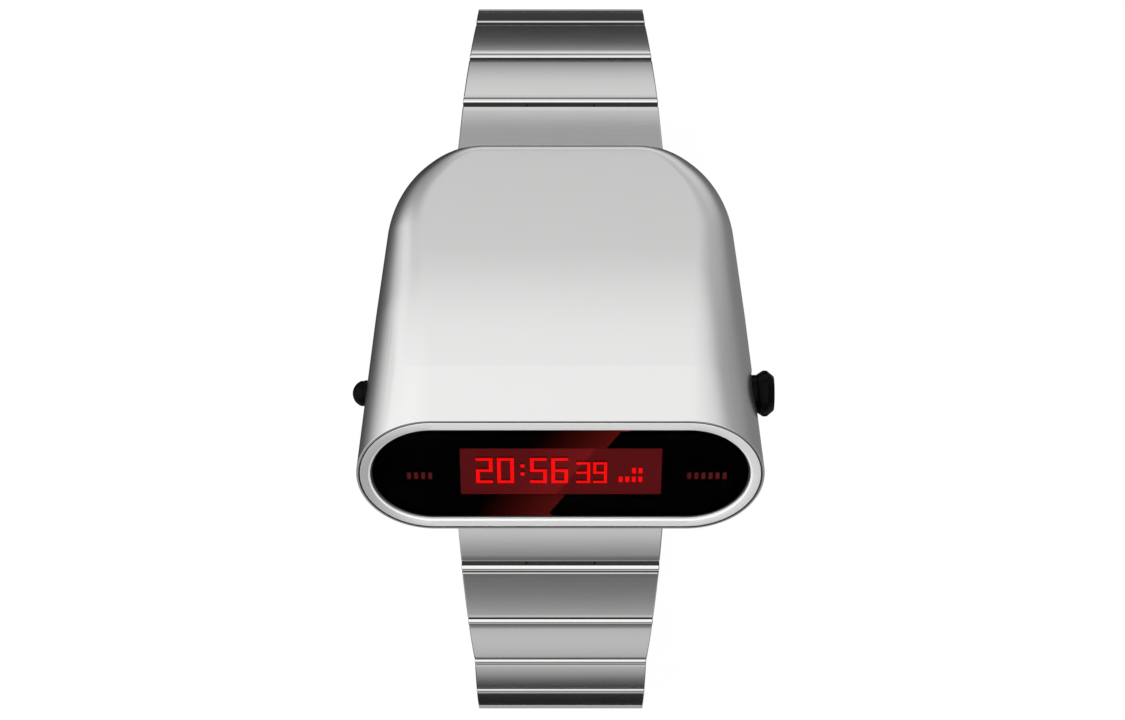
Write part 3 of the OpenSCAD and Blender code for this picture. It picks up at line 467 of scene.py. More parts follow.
finishes = {material.name: material for material in (
    steel("caseSatin", (0.81, 0.81, 0.805), 0.3, grain=14.0, contrast=0.035, bump=0.03),
    # The ring's steel, darkened towards its left end as painted shade
    steel("ringSatin", (0.66, 0.66, 0.655), 0.45, grain=11.0, stretch=(1, 0.15, 0.15), metal=0.25,
          leftPaintedShade=(-12.5, -21, 0.56)),
    # The ring's inner bevel: its own finish, made lighter and less metallic than the ring's steel so it shows
    # as a painted highlight all round
    steel("ringEdge", (0.74, 0.74, 0.735), 0.4, grain=8.0, contrast=0.03, metal=0.1),
    steel("polishedSteel", (0.88, 0.88, 0.87), 0.07, grain=6.0, contrast=0.03, bump=0.01),
    steel("plateSatin", (0.72, 0.72, 0.715), 0.2, stretch=(0.03, 1, 1), contrast=0.09, bump=0.05),
    steel("claspSatin", (0.7, 0.7, 0.69), 0.26, grain=8.0, stretch=(0.05, 1, 1), contrast=0.1, bump=0.06),
    steel("groundSteel", (0.6, 0.6, 0.6), 0.3, grain=10.0, contrast=0.1),
    steel("wireSteel", (0.6, 0.6, 0.58), 0.25, grain=20.0, contrast=0.1),
    steel("cellSteel", (0.7, 0.71, 0.73), 0.22, grain=4.0, contrast=0.08),
    steel("canMetal", (0.75, 0.75, 0.75), 0.15, grain=5.0),
    steel("plateGold", (0.83, 0.6, 0.24), 0.28, grain=7.0, contrast=0.12),
    # Painted shade, put in the gaps and hollows between parts
    moulded("gapBlack", (0.018, 0.018, 0.018), (0.03, 0.03, 0.03), 0.6, scale=900.0, shine=0.05),
    moulded("buttonBlack", (0.001, 0.001, 0.001), (0.002, 0.002, 0.002), 0.16, scale=300.0, spread=0.06,
            shine=0.05),
    moulded("sealRubber", (0.02, 0.02, 0.02), (0.035, 0.035, 0.035), 0.6, scale=900.0, bump=0.2),
    moulded("framePlastic", (0.1, 0.1, 0.11), (0.13, 0.13, 0.14), 0.5, scale=700.0, bump=0.2),
    moulded("chipBlack", (0.02, 0.02, 0.02), (0.035, 0.035, 0.035), 0.55, scale=1500.0, bump=0.3),
    moulded("flexAmber", (0.5, 0.23, 0.04), (0.62, 0.32, 0.07), 0.3, scale=250.0),
    solderMask("circuitGreen"),
    glass("lensGlass", 1.5, 90.0, (0.97, 0.95, 0.95), (1, 0.98, 0.98), coat=0.96),
    glass("redFilter", 1.1, 120.0, (1, 0.3, 0.3), (1, 0.36, 0.34)),
    # These glow, and all carry the same painted slanted reflection in their glow
    glowing("maskBlack", (0.0004, 0.0004, 0.0004), (0.0, 0.0, 0.0), (0.075, 0.005, 0.004), roughness=0.5),
    glowing("boardRed", (0.02, 0.001, 0.001), (0.08, 0.018, 0.022), (0.14, 0.026, 0.03), roughness=0.6),
    glowing("digitRed", (0.3, 0.0, 0.0), (0.8, 0.012, 0.012), (0.84, 0.02, 0.02)),
    glowing("digitSide", (0.02, 0.001, 0.001), (0.06, 0.008, 0.008), (0.1, 0.012, 0.012), roughness=0.6),
    glowing("markRed", (0.03, 0.004, 0.004), (0.055, 0.007, 0.007), (0.1, 0.01, 0.01)),
)}
print("finishes made:", len(finishes))

# Mesh tools


def newPiece(name, points, faces):
    mesh = bpy.data.meshes.new(name)
    mesh.from_pydata((np.asarray(points, float) * mm).tolist(), [], faces)
    mesh.update()
    return addObject(name, mesh)


@contextmanager
def edited(mesh):
    bm = bmesh.new()
    bm.from_mesh(mesh)
    yield bm
    bm.to_mesh(mesh)
    bm.free()


def gridFaces(rows, columns):
    # Quads of a grid of points whose columns wrap round
    row, column = np.meshgrid(np.arange(rows - 1), np.arange(columns), indexing="ij")
    after = (column + 1) % columns
    quads = np.stack([row * columns + column, row * columns + after,
                      (row + 1) * columns + after, (row + 1) * columns + column], axis=-1)
    return quads.reshape(-1, 4).tolist()


def endFaces(rows, columns):
    # The two faces that close the first and the last row of such a grid
    return [list(range(columns))[::-1], list(range((rows - 1) * columns, rows * columns))]


def tidyMesh(piece, distance=0.0002):
    # Merges doubled points and turns every face outwards
    with edited(piece.data) as bm:
        bmesh.ops.remove_doubles(bm, verts=bm.verts, dist=distance * mm)
        bmesh.ops.recalc_face_normals(bm, faces=bm.faces)
    return piece


def smoothByAngle(piece, degrees, weigh=True):
    limit = math.radians(degrees)
    with edited(piece.data) as bm:
        for face in bm.faces:
            face.smooth = True
        for edge in bm.edges:
            edge.smooth = len(edge.link_faces) == 2 and edge.calc_face_angle(math.pi) < limit
    if weigh:
        modifier = piece.modifiers.new("weighNormals", "WEIGHTED_NORMAL")
        modifier.keep_sharp = True
        modifier.weight = 50


def applyModifier(piece, modifier):
    # Keeps the mesh as the modifier leaves it
    shown = piece.evaluated_get(bpy.context.evaluated_depsgraph_get())
    made = bpy.data.meshes.new_from_object(shown)
    piece.modifiers.remove(modifier)
    old = piece.data
    piece.data = made
    bpy.data.meshes.remove(old)


def combine(piece, other, operation):
    # Cuts or joins with another closed mesh, which is then deleted
    modifier = piece.modifiers.new("combine", "BOOLEAN")
    modifier.operation = operation
    modifier.solver = "MANIFOLD"
    modifier.object = other
    applyModifier(piece, modifier)
    bpy.data.objects.remove(other)


def cut(piece, *cutters):
    for cutter in cutters:
        combine(piece, cutter, "DIFFERENCE")


def roundEdges(piece, width):
    modifier = piece.modifiers.new("roundEdges", "BEVEL")
    modifier.width = width * mm
    modifier.segments = 2
    modifier.limit_method = "ANGLE"
    modifier.angle_limit = math.radians(35)
    modifier.use_clamp_overlap = True
    modifier.harden_normals = True
    applyModifier(piece, modifier)


def dress(piece, body, slot, *finishNames):
    slots = piece.data.materials
    for index, name in enumerate(finishNames):
        if index < len(slots):
            slots[index] = finishes[name]
        else:
            slots.append(finishes[name])
    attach(piece, body)


def standFor(piece, node, slot, *finishNames, degrees=30, weigh=True):
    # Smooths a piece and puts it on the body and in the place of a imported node
    smoothByAngle(piece, degrees, weigh)
    dress(piece, nodes[node]["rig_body"], slot, *finishNames)
    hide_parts(node)


def facePoint(x, up, out):
    # Points of the face's frame in the object's frame, as arrays
    return faceMiddle + x[..., None] * across + up[..., None] * faceUp + out[..., None] * faceOut


def pillSweep(name, profile, turn=96, closed=True, flags=None):
    # Carries a profile of (radius, height) round a pill: each point is a point of the pill's core plus
    # the radius times the unit direction at that place. Flags give each stretch's material
    half = turn // 2 + 1
    angle = np.radians(np.concatenate([np.linspace(-90, 90, half), np.linspace(90, 270, half)]))
    core = np.repeat([faceReach, -faceReach], half)
    radius, out = np.array(profile, float).T
    x = core[None, :] + radius[:, None] * np.cos(angle)[None, :]
    up = radius[:, None] * np.sin(angle)[None, :]
    points = facePoint(x, up, np.broadcast_to(out[:, None], x.shape)).reshape(-1, 3)
    rows, columns = len(profile), len(angle)
    faces = gridFaces(rows, columns)
    if closed:
        last = (rows - 1) * columns
        faces += [[last + column, last + (column + 1) % columns, (column + 1) % columns, column]
                  for column in range(columns)]
    else:
        faces += endFaces(rows, columns)
    piece = newPiece(name, points, faces)
    if flags:
        for index in range(max(flags) + 1):
            piece.data.materials.append(None)
        indices = [flags[face // columns] for face in range(len(faces))]
        piece.data.polygons.foreach_set("material_index", indices)
    return tidyMesh(piece)


def pillCut(name, radius, low, high):
    # A closed prism over a pill with the face's own middle line
    return pillSweep(name, [(radius, low), (radius, high)], closed=False)


def revolve(name, profile, turn=64):
    # Turns a profile of (radius, place along X) about the X axis; radius 0 closes the ends
    radius, place = np.array(profile, float).T
    angle = np.radians(np.arange(turn) * 360 / turn)
    y = radius[:, None] * np.cos(angle)[None, :]
    z = radius[:, None] * np.sin(angle)[None, :]
    x = np.broadcast_to(place[:, None], y.shape)
    return tidyMesh(newPiece(name, np.stack([x, y, z], -1).reshape(-1, 3), gridFaces(len(profile), turn)))


def arcPoints(centre, radius, start, end, steps):
    angle = np.radians(np.linspace(start, end, steps + 1))
    return [(centre[0] + radius * math.cos(a), centre[1] + radius * math.sin(a)) for a in angle]


def slab(name, low, high):
    points = [(x, y, z) for x in (low[0], high[0]) for y in (low[1], high[1]) for z in (low[2], high[2])]
    faces = [(0, 1, 3, 2), (4, 6, 7, 5), (0, 4, 5, 1), (2, 3, 7, 6), (0, 2, 6, 4), (1, 5, 7, 3)]
    return tidyMesh(newPiece(name, points, faces))


def placed(piece, matrix):
    piece.data.transform(matrix)
    if matrix.determinant() < 0:
        piece.data.flip_normals()
    return piece


def moveBy(x, y, z):
    return Matrix.Translation((x * mm, y * mm, z * mm))


def turnBy(degrees, axis):
    return Matrix.Rotation(math.radians(degrees), 4, axis)


def rod(name, start, end, radius, y=0.0, z=0.0, turn=48):
    # A cylinder along X
    piece = revolve(name, [(0, start), (radius, start), (radius, end), (0, end)], turn)
    return placed(piece, moveBy(0, y, z))


# Case

caseForm = dict(
    wall=1.3, shellZ=0.8, crownHalfW=19.0, crownY=1.0,
    cornerX=8.0, cornerY=8.7, cornerReach=(10.0, 11.3),  # middle and reaches of the rear corner's ellipse
    rearTaper=0.136, rearBall=1.3, leastBall=0.05, lowR=2.5, balls=40,
    footX=12.5, footY=-10.7, footR=2.5, edgeRound=0.09,
    frontSlope=math.tan(math.radians(14.9)),  # fall of the top behind the face
    rearSlope=math.tan(math.radians(22.0)),  # fall of the top towards the rear edge
    bendFrom=-5.5, bendTo=8.7,  # where the top turns from the first slope to the second
    stations=44, grid=(190, 264), cavityGrid=(110, 160),
    cavityBack=1.1, throatR=5.0, throatDepth=3.1,  # room for the module behind the lens's shelf
)
backForm = dict(middleY=0.8, stepW=24.0, stepLen=22.0, cornerR=2.5, gasketW=0.6, play=0.05, floorZ=1.6,
                gasketT=0.4, screwX=13.5, screwLow=-11.7, screwHigh=13.3, screwR=0.42, screwDepth=1.9)
lugForm = dict(halfW=11.0, slotR=1.4, holeR=0.42, holeReach=12.1, rearY=17.8, frontY=-16.0, z=2.0,
               rearOpen=-7.5, frontOpen=12.0, blockHalfW=12.7, wall=1.1)
buttonForm = dict(y=-6.2, z=7.6, wallX=19.78, baseX=19.38, boreX=17.98, bossX=15.98, stemX=14.58, stemR=0.6,
                  leftR=1.35, rightR=2.35, leftProud=1.448, rightProud=1.998, clip=0.32, bossWall=0.9,
                  headPlay=0.1, stemPlay=0.05,
                  domeDepth=0.8, domeReach=0.94)  # shares of the left button's radius


def crownTop(y):
    # Height of the case's top at y: a straight fall, a bend that starts and ends gently, a steeper fall
    form = caseForm
    topY, topZ = (faceMiddle + faceRadius * faceUp)[1:]
    length = form["bendTo"] - form["bendFrom"]
    share = min(max((y - form["bendFrom"]) / length, 0), 1)
    after = max(y - form["bendTo"], 0)
    extra = (form["rearSlope"] - form["frontSlope"]) * (length * (share**3 - share**4 / 2) + after)
    return topZ - form["frontSlope"] * (y - topY) - extra


def halfWidth(y):
    # Straight from the face to the crown line, and a little steeper from there to the rear
    form = caseForm
    ahead = form["crownY"] - y
    slope = (faceForm["width"] / 2 - form["crownHalfW"]) / (form["crownY"] - faceMiddle[1])
    return form["crownHalfW"] + (slope if ahead > 0 else form["rearTaper"]) * ahead


def cornerBalls():
    # Balls that touch an ellipse in plan from inside, and the case's top from below. They shrink towards
    # the rear edge by a squared cosine. Each is (x, y, outward direction, radius, middle height)
    form = caseForm
    balls = []
    a, b = form["cornerReach"]
    sideBall = (crownTop(form["cornerY"]) - form["shellZ"]) / 2
    slope = 2 * math.atan(form["rearSlope"] / 2)  # what a row of growing balls takes at its end
    high = form["cornerY"] * math.sin(slope) + (form["shellZ"] + sideBall) * math.cos(slope) + sideBall
    for turn in np.linspace(0, math.pi / 2, form["balls"]):
        x, y = form["cornerX"] + a * math.cos(turn), form["cornerY"] + b * math.sin(turn)
        out = np.array([math.cos(turn) / a, math.sin(turn) / b])
        out /= np.linalg.norm(out)
        r = sideBall + (form["rearBall"] - sideBall) * (0.5 - 0.5 * math.cos(2 * turn))**2
        for attempt in range(6):  # a ball may not reach below the case shell
            height = (high - r - (y - r * out[1]) * math.sin(slope)) / math.cos(slope)
            r = min(r, r - (form["shellZ"] + r - height) / 2)
        balls.append((x, y, *out, r, height))
    return balls


def caseSurface(name, inset, faceBack, rows, columns):
    # The smallest smooth skin round the face pill, a row of balls under the crown, balls round the rear
    # corners and the foot: each direction of a polar grid about the face's normal takes the furthest
    # point that any of them has that way
    form = caseForm
    tilt = np.radians(np.linspace(0.5, 179.5, rows))
    turn = np.radians((np.arange(columns) + 0.5) * 360 / columns)
    t, a = np.meshgrid(tilt, turn, indexing="ij")
    way = (np.cos(t)[..., None] * faceOut + np.sin(t)[..., None] *
           (np.cos(a)[..., None] * across + np.sin(a)[..., None] * faceUp)).reshape(-1, 3)
    side = np.where(way[:, 0] >= 0, 1.0, -1.0)

    def onSide(x, y, z):
        return np.stack([side * x, np.full_like(side, y), np.full_like(side, z)], -1)

    sideways, upwards = way @ across, way @ faceUp
    flat = np.maximum(np.hypot(sideways, upwards), 1e-9)
    soft = 0 if inset else form["edgeRound"]
    pillR = faceRadius - inset - soft
    found = [(faceMiddle - (faceBack + soft) * faceOut) + soft * way + (
        (side * faceReach + pillR * sideways / flat)[:, None] * across +
        (pillR * upwards / flat)[:, None] * faceUp)]
    for y in np.linspace(form["bendFrom"], form["cornerY"], form["stations"]):
        ball = (crownTop(y) - form["shellZ"]) / 2
        found.append(onSide(halfWidth(y) - ball, y, form["shellZ"] + ball) + (ball - inset) * way)
    for x, y, outX, outY, ball, height in cornerBalls():
        low = min(ball, form["lowR"])
        for r, z in ((ball, height), (low, form["shellZ"] + low)):
            centre = onSide(x - r * outX, y - r * outY, z)
            found.append(centre + max(r - inset, form["leastBall"]) * way)
    level = np.maximum(np.hypot(way[:, 0], way[:, 1]), 1e-9)
    ring = way * (1, 1, 0) / level[:, None]
    found.append(onSide(form["footX"], form["footY"], form["shellZ"] + inset) + form["footR"] * ring)
    found = np.array(found)
    best = np.einsum("kij,ij->ki", found, way).argmax(0)
    points = found[best, np.arange(len(way))]
    # Each cell is cut along the diagonal that stands outwards, since the form is convex everywhere
    a, b, c, d = cells = np.array(gridFaces(rows, columns)).T
    turned = np.einsum("ij,ij->i", np.cross(points[c] - points[a], points[d] - points[b]), way[a])
    folded = np.cross(points[b] - points[a], points[c] - points[a])
    keep = np.einsum("ij,ij->i", folded, points[d] - points[a]) * turned <= 0
    faces = []
    for chosen, picks in ((keep, ((0, 1, 2), (0, 2, 3))), (~keep, ((0, 1, 3), (1, 2, 3)))):
        for pick in picks:
            faces += cells[list(pick)][:, chosen].T.tolist()
    return tidyMesh(newPiece(name, points, faces + endFaces(rows, columns)), 0.00001)


def roundPlate(name, width, length, radius, low, high, middleY):
    # An upright prism over a rectangle with round corners
    corners = []
    for sx, sy, start in ((1, 1, 0), (-1, 1, 90), (-1, -1, 180), (1, -1, 270)):
        corners += arcPoints((sx * (width / 2 - radius), middleY + sy * (length / 2 - radius)),
                             radius, start, start + 90, 12)
    count = len(corners)
    points = [(x, y, z) for z in (low, high) for x, y in corners]
    return tidyMesh(newPiece(name, points, gridFaces(2, count) + endFaces(2, count)))


def lugSlot(y, open, side):
    # Room for a strand's first link, turned to its widest opening
    half, r = lugForm["halfW"], lugForm["slotR"]
    where = moveBy(0, y, lugForm["z"]) @ turnBy(open, "X")
    low, high = (0, 8) if side > 0 else (-8, 0)
    return (placed(rod("lugBarrel", -half, half, r), where),
            placed(slab("lugBox", (-half, low, -8), (half, high, r)), where))


ringForm = dict(outerRound=0.05, rebateW=0.07, rebateDepth=0.3, bevelW=0.17, bevelDepth=0.08, innerRound=0.02,
                seatPlay=0.02, mouthPlay=0.08, mouthDepth=0.25)


def grooveCut():
    # The ring's seat with a small chamfer at its mouth, which leaves a gap round the ring; the dark line
    # there is painted shade on the ring's rebate
    form = ringForm
    seat, mouth = ringOut + form["seatPlay"], ringOut + form["mouthPlay"]
    profile = [(seat, -faceForm["ringDepth"]), (seat, -form["rebateDepth"]), (mouth, -form["mouthDepth"]),
               (mouth, 1)]
    return pillSweep("ringSeat", profile, closed=False)


def makeCase():
    # A true shell: the outer skin less an inner skin, with the seats, slots and bores cut in. Cutters reach
    # 1 to 8 mm past the skin
    form, lug, button, back = caseForm, lugForm, buttonForm, backForm
    shell = caseSurface("caseBody", 0, 0, *form["grid"])
    cavity = caseSurface("cavity", form["wall"], -shelf + form["cavityBack"], *form["cavityGrid"])
    half, reach = lug["blockHalfW"], lug["slotR"] + lug["wall"]
    high = lug["z"] + reach
    cut(cavity, slab("rearBlock", (-half, lug["rearY"] - reach, -1), (half, lug["rearY"] + 8, high)),
        slab("frontBlock", (-half, lug["frontY"] - 8, -1), (half, lug["frontY"] + reach, high)))
    cut(shell, cavity, pillCut("throat", form["throatR"], shelf - form["throatDepth"], 1))
    for side, radius in ((1, button["rightR"]), (-1, button["leftR"])):
        ends = sorted((side * button["bossX"], side * (button["wallX"] - 1)))
        boss = rod("boss", *ends, radius + button["bossWall"], button["y"], button["z"])
        combine(shell, boss, "UNION")
    play, seat = 2 * back["play"], 2 * back["gasketW"] + 2 * back["play"]
    cut(shell, grooveCut(), pillCut("lensSeat", ringIn + ringForm["seatPlay"], shelf, 1),
        roundPlate("backOpening", back["stepW"] + play, back["stepLen"] + play, back["cornerR"],
                   0, back["floorZ"] + 1, back["middleY"]),
        roundPlate("gasketSeat", back["stepW"] + seat, back["stepLen"] + seat,
                   back["cornerR"] + back["gasketW"], 0, form["shellZ"] + back["gasketT"], back["middleY"]))
    for x in (-back["screwX"], back["screwX"]):
        for y in (back["screwLow"], back["screwHigh"]):
            hole = rod("screwHole", -back["screwDepth"], 1, back["screwR"], turn=24)
            cut(shell, placed(hole, moveBy(x, y, 0) @ turnBy(90, "Y")))
    for y, open, side in ((lug["rearY"], lug["rearOpen"], 1), (lug["frontY"], lug["frontOpen"], -1)):
        cut(shell, *lugSlot(y, open, side),
            rod("barHole", -lug["holeReach"], lug["holeReach"], lug["holeR"], y, lug["z"], 24))
    for side, radius in ((1, button["rightR"]), (-1, button["leftR"])):
        stemR = button["stemR"] + button["stemPlay"]
        for start, length, r in ((button["boreX"], 8, radius + button["headPlay"]),
                                 (button["bossX"] - 1, 6, stemR)):
            ends = sorted((side * start, side * (start + length)))
            cut(shell, rod("bore", *ends, r, button["y"], button["z"]))
    standFor(shell, "case_shell", "case_steel", "caseSatin")


def makeRing():
    # The rebate round its top is painted black as shade, which makes the dark line between the ring and the
    # case
    form = ringForm
    r, depth, rebate = form["outerRound"], faceForm["ringDepth"], form["rebateDepth"]
    edge, bevel = ringOut - form["rebateW"], ringIn + form["bevelW"]
    top = arcPoints((edge - r, -r), r, 0, 90, 4)
    profile = [(ringIn, -depth), (ringOut, -depth), (ringOut, -rebate), (edge, -rebate)] + top + [
        (bevel + form["innerRound"], 0), (bevel, -form["innerRound"] / 2), (ringIn, -form["bevelDepth"])]
    # Finish 1 on the inner bevel is a painted highlight, finish 2 on the rebate is painted shade
    ring = pillSweep("lensRing", profile, flags=[0, 0, 2, 2] + [0] * len(top) + [1, 1, 0])
    standFor(ring, "lens_ring", "ring_steel", "ringSatin", "ringEdge", "gapBlack")


lensForm = dict(topBevel=0.12, lowBevel=0.03)


def makeLens():
    # Its edge is painted black, so that light doesn't leak in from the seat
    bevel, small = lensForm["topBevel"], lensForm["lowBevel"]
    low, high = maskTop, -faceForm["lensSunk"]
    edge = [(lensRadius - small, low), (lensRadius, low + small), (lensRadius, high - bevel),
            (lensRadius - bevel, high)]
    lens = pillSweep("lensPlate", edge, closed=False, turn=128, flags=[1, 1, 1, 0])
    standFor(lens, "lens", "lens_glass", "lensGlass", "maskBlack", degrees=20, weigh=False)


# Display

# Widths, steps and rooms are shares of the digit's height
displayForm = dict(height=3.6, smallHeight=3.0, stroke=0.105, width=0.475, step=0.6, colonRoom=0.33,
                   smallGap=0.235, smallWidth=0.47, smallStep=0.57, start=-8.6, low=-2.36, face=-2.1,
                   thick=0.3, digits=(2, 0, 5, 6), smallDigits=(3, 9), colonIn=0.06, dotRises=(0.3, 0.62),
                   dotStrokes=(1.1, 1.25))  # a dot's width and height, in strokes
# Lit cells of a digit, row by row from the top: bar, side, bar, side, bar
litCells = {0: "111101101101111", 2: "111001111100111", 3: "111001111001111", 5: "111100111001111",
            6: "111100111101111", 9: "111101111001111"}


def cellSolid(xs, ys, filled, low, high):
    # Points and faces of the filled cells of a grid, as one closed solid with shared corners
    columns, layer = len(xs), len(xs) * len(ys)
    points = [(x, y, z) for z in (low, high) for y in ys for x in xs]
    faces = []
    for i, j in filled:
        a, b = j * columns + i, j * columns + i + 1
        c, d = b + columns, a + columns
        faces += [(a + layer, b + layer, c + layer, d + layer), (d, c, b, a)]
        sides = (((i, j - 1), a, b), ((i + 1, j), b, c), ((i, j + 1), c, d), ((i - 1, j), d, a))
        faces += [(p, q, q + layer, p + layer) for near, p, q in sides if near not in filled]
    return points, faces


def digitCells(digit, height, width, left, low):
    t = height * displayForm["stroke"]
    xs = [left, left + t, left + width - t, left + width]
    ys = [low + y for y in (0, t, (height - t) / 2, (height + t) / 2, height - t, height)]
    filled = {(k % 3, 4 - k // 3) for k, lit in enumerate(litCells[digit]) if lit == "1"}
    return xs, ys, filled


def barCells(left, low, width, height):
    return [left, left + width], [low, low + height], {(0, 0)}


def facePiece(name, parts, low, high):
    # Joins several cell solids drawn in the face's frame into one mesh, of which only the fronts are lit
    points, faces = [], []
    for xs, ys, filled in parts:
        some, quads = cellSolid(xs, ys, filled, low, high)
        faces += [tuple(v + len(points) for v in quad) for quad in quads]
        points += some
    piece = newPiece(name, facePoint(*np.array(points, float).T), faces)
    with edited(piece.data) as bm:
        bmesh.ops.delete(bm, geom=[v for v in bm.verts if not v.link_faces], context="VERTS")
        bmesh.ops.recalc_face_normals(bm, faces=bm.faces)
        for face in bm.faces:
            face.material_index = 0 if face.normal.dot(Vector(faceOut)) > 0.9 else 1
    return piece


def makeDigits():
    form = displayForm
    height, small, low = form["height"], form["smallHeight"], form["low"]
    parts = []
    for place, digit in enumerate(form["digits"]):
        before = place * form["step"] + (form["colonRoom"] if place > 1 else 0)
        parts.append(digitCells(digit, height, form["width"] * height, form["start"] + before * height, low))
    colon = form["start"] + (2 * form["step"] + form["colonIn"]) * height
    dotWidth, dotHeight = (size * form["stroke"] * height for size in form["dotStrokes"])
    for rise in form["dotRises"]:
        parts.append(barCells(colon, low + rise * height, dotWidth, dotHeight))
    before = 3 * form["step"] + form["colonRoom"] + form["width"] + form["smallGap"]
    for place, digit in enumerate(form["smallDigits"]):
        left = form["start"] + before * height + place * form["smallStep"] * small
        parts.append(digitCells(digit, small, form["smallWidth"] * small, left, low))
    digits = facePiece("litDigits", parts, form["face"], form["face"] + form["thick"])
    dress(digits, "case", "digit_red", "digitRed", "digitSide")
    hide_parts("display_digits")


markForm = dict(thick=0.02, low=-1.2, height=0.95, bar=0.4, step=0.72, leftX=-15.6, rightX=12.9,
                litX=5.95, litBar=0.4, litStep=0.67, litHeight=0.8, litHigh=-1.1)


def makeMarks():
    # Plain bars beside the window and in its corner
    form = markForm
    bars = [barCells(start + form["step"] * k, form["low"], form["bar"], form["height"])
            for start, count in ((form["leftX"], 4), (form["rightX"], 6)) for k in range(count)]
    marks = facePiece("buttonMarks", bars, maskTop, maskTop + form["thick"])
    dress(marks, "case", "mask_black", "markRed", "maskBlack")
    face = displayForm["face"]
    lit = [barCells(form["litX"] + form["litStep"] * k, low, form["litBar"], form["litHeight"])
           for low, places in ((displayForm["low"], range(4)), (form["litHigh"], (2, 3))) for k in places]
    small = facePiece("litMarks", lit, face, face + displayForm["thick"] / 2)
    dress(small, "case", "digit_red", "digitRed", "digitSide")


# Buttons


def makeButtons():
    # Both are turned from a stem with a groove for the clip, and a head with small bevels
    form = buttonForm
    stem, base, groove = form["stemR"], form["baseX"], form["bossX"] - form["clip"]
    stemProfile = [(0, form["stemX"]), (stem - 0.1, form["stemX"]), (stem, form["stemX"] + 0.1),
                   (stem, groove), (stem - 0.2, groove), (stem - 0.2, form["bossX"]), (stem, form["bossX"]),
                   (stem, base)]
    faceX, r = form["wallX"] + form["rightProud"], form["rightR"]
    head = [(r - 0.45, base), (r - 0.45, form["wallX"] + 0.2), (r - 0.03, faceX - 1.17), (r, faceX - 1.12),
            (r, faceX - 0.73), (r - 0.03, faceX - 0.68), (r - 0.57, faceX - 0.03), (r - 0.63, faceX),
            (r - 1.0, faceX), (r - 1.08, faceX - 0.05), (0, faceX - 0.05)]
    right = revolve("rightPusher", stemProfile + head, 96)
    faceX, r = form["wallX"] + form["leftProud"], form["leftR"]
    depth = form["domeDepth"] * r
    ball = (r * r + depth * depth) / (2 * depth)
    reach = math.degrees(math.asin(min(1, form["domeReach"] * r / ball)))
    edge = faceX - depth
    head = [(r, base), (r, edge - 0.16), (r - 0.02, edge - 0.12), (r - 0.08, edge - 0.09),
            (r - 0.08, edge - 0.03), (r * 0.97, edge + 0.02)]
    dome = [(ball * math.sin(a), faceX - ball + ball * math.cos(a))
            for a in np.radians(np.linspace(reach, 0, 15))]
    left = revolve("leftPusher", stemProfile + head + dome, 96)
    placed(left, Matrix.Diagonal((-1, 1, 1, 1)))
    for pusher, node in ((right, "right_button"), (left, "left_button")):
        tidyMesh(placed(pusher, moveBy(0, form["y"], form["z"])))
        standFor(pusher, node, "button_black", "buttonBlack", degrees=24)


# Bracelet

linkForm = dict(pitch=8.0, half=1.2, beadR=0.42, beadGap=0.13, earR=0.8, tongueR=0.72, tongueHalfW=3.5,
                recessR=0.78, recessPlay=0.15, endBevel=(0.13, 0.08), startBevel=(0.16, 0.08),
                innerBevel=0.2, underGap=0.1, kneeU=0.05, tongueRoot=0.6, crown=0.15, grooveN=0.9,
                startU=0.62, sideRound=0.14, holeR=0.41, holeDepth=0.3,
                barR=0.83, tongueHoleR=0.45, knuckleR=1.2, lip=0.07, count=9,
                flankFrom=dict(rear=140, front=165))  # degrees round the bead from which it lies in the gap


def strandPath(side):
    # Pivots of a strand from the case outwards, in mm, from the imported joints
    names = [f"{side}_hinge_{k + 1}" for k in range(linkForm["count"])]
    if side == "rear":
        names.append("clasp_hinge")
    points = [np.array(joints[name]["pos_m"]) for name in names]
    if side == "front":
        low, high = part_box("clasp_spring_bar")
        points.append(np.array((low + high) / 2))
    return [point / mm for point in points]


def linkMatrix(side, start, end):
    # The link's own frame: X across, Y along the strand, Z outwards
    along = (end - start) / np.linalg.norm(end - start)
    sign = 1 if side == "rear" else -1
    columns = np.stack([(sign, 0, 0), along, (0, -sign * along[2], sign * along[1]), start * mm], 1)
    return Matrix((*columns.tolist(), (0, 0, 0, 1)))


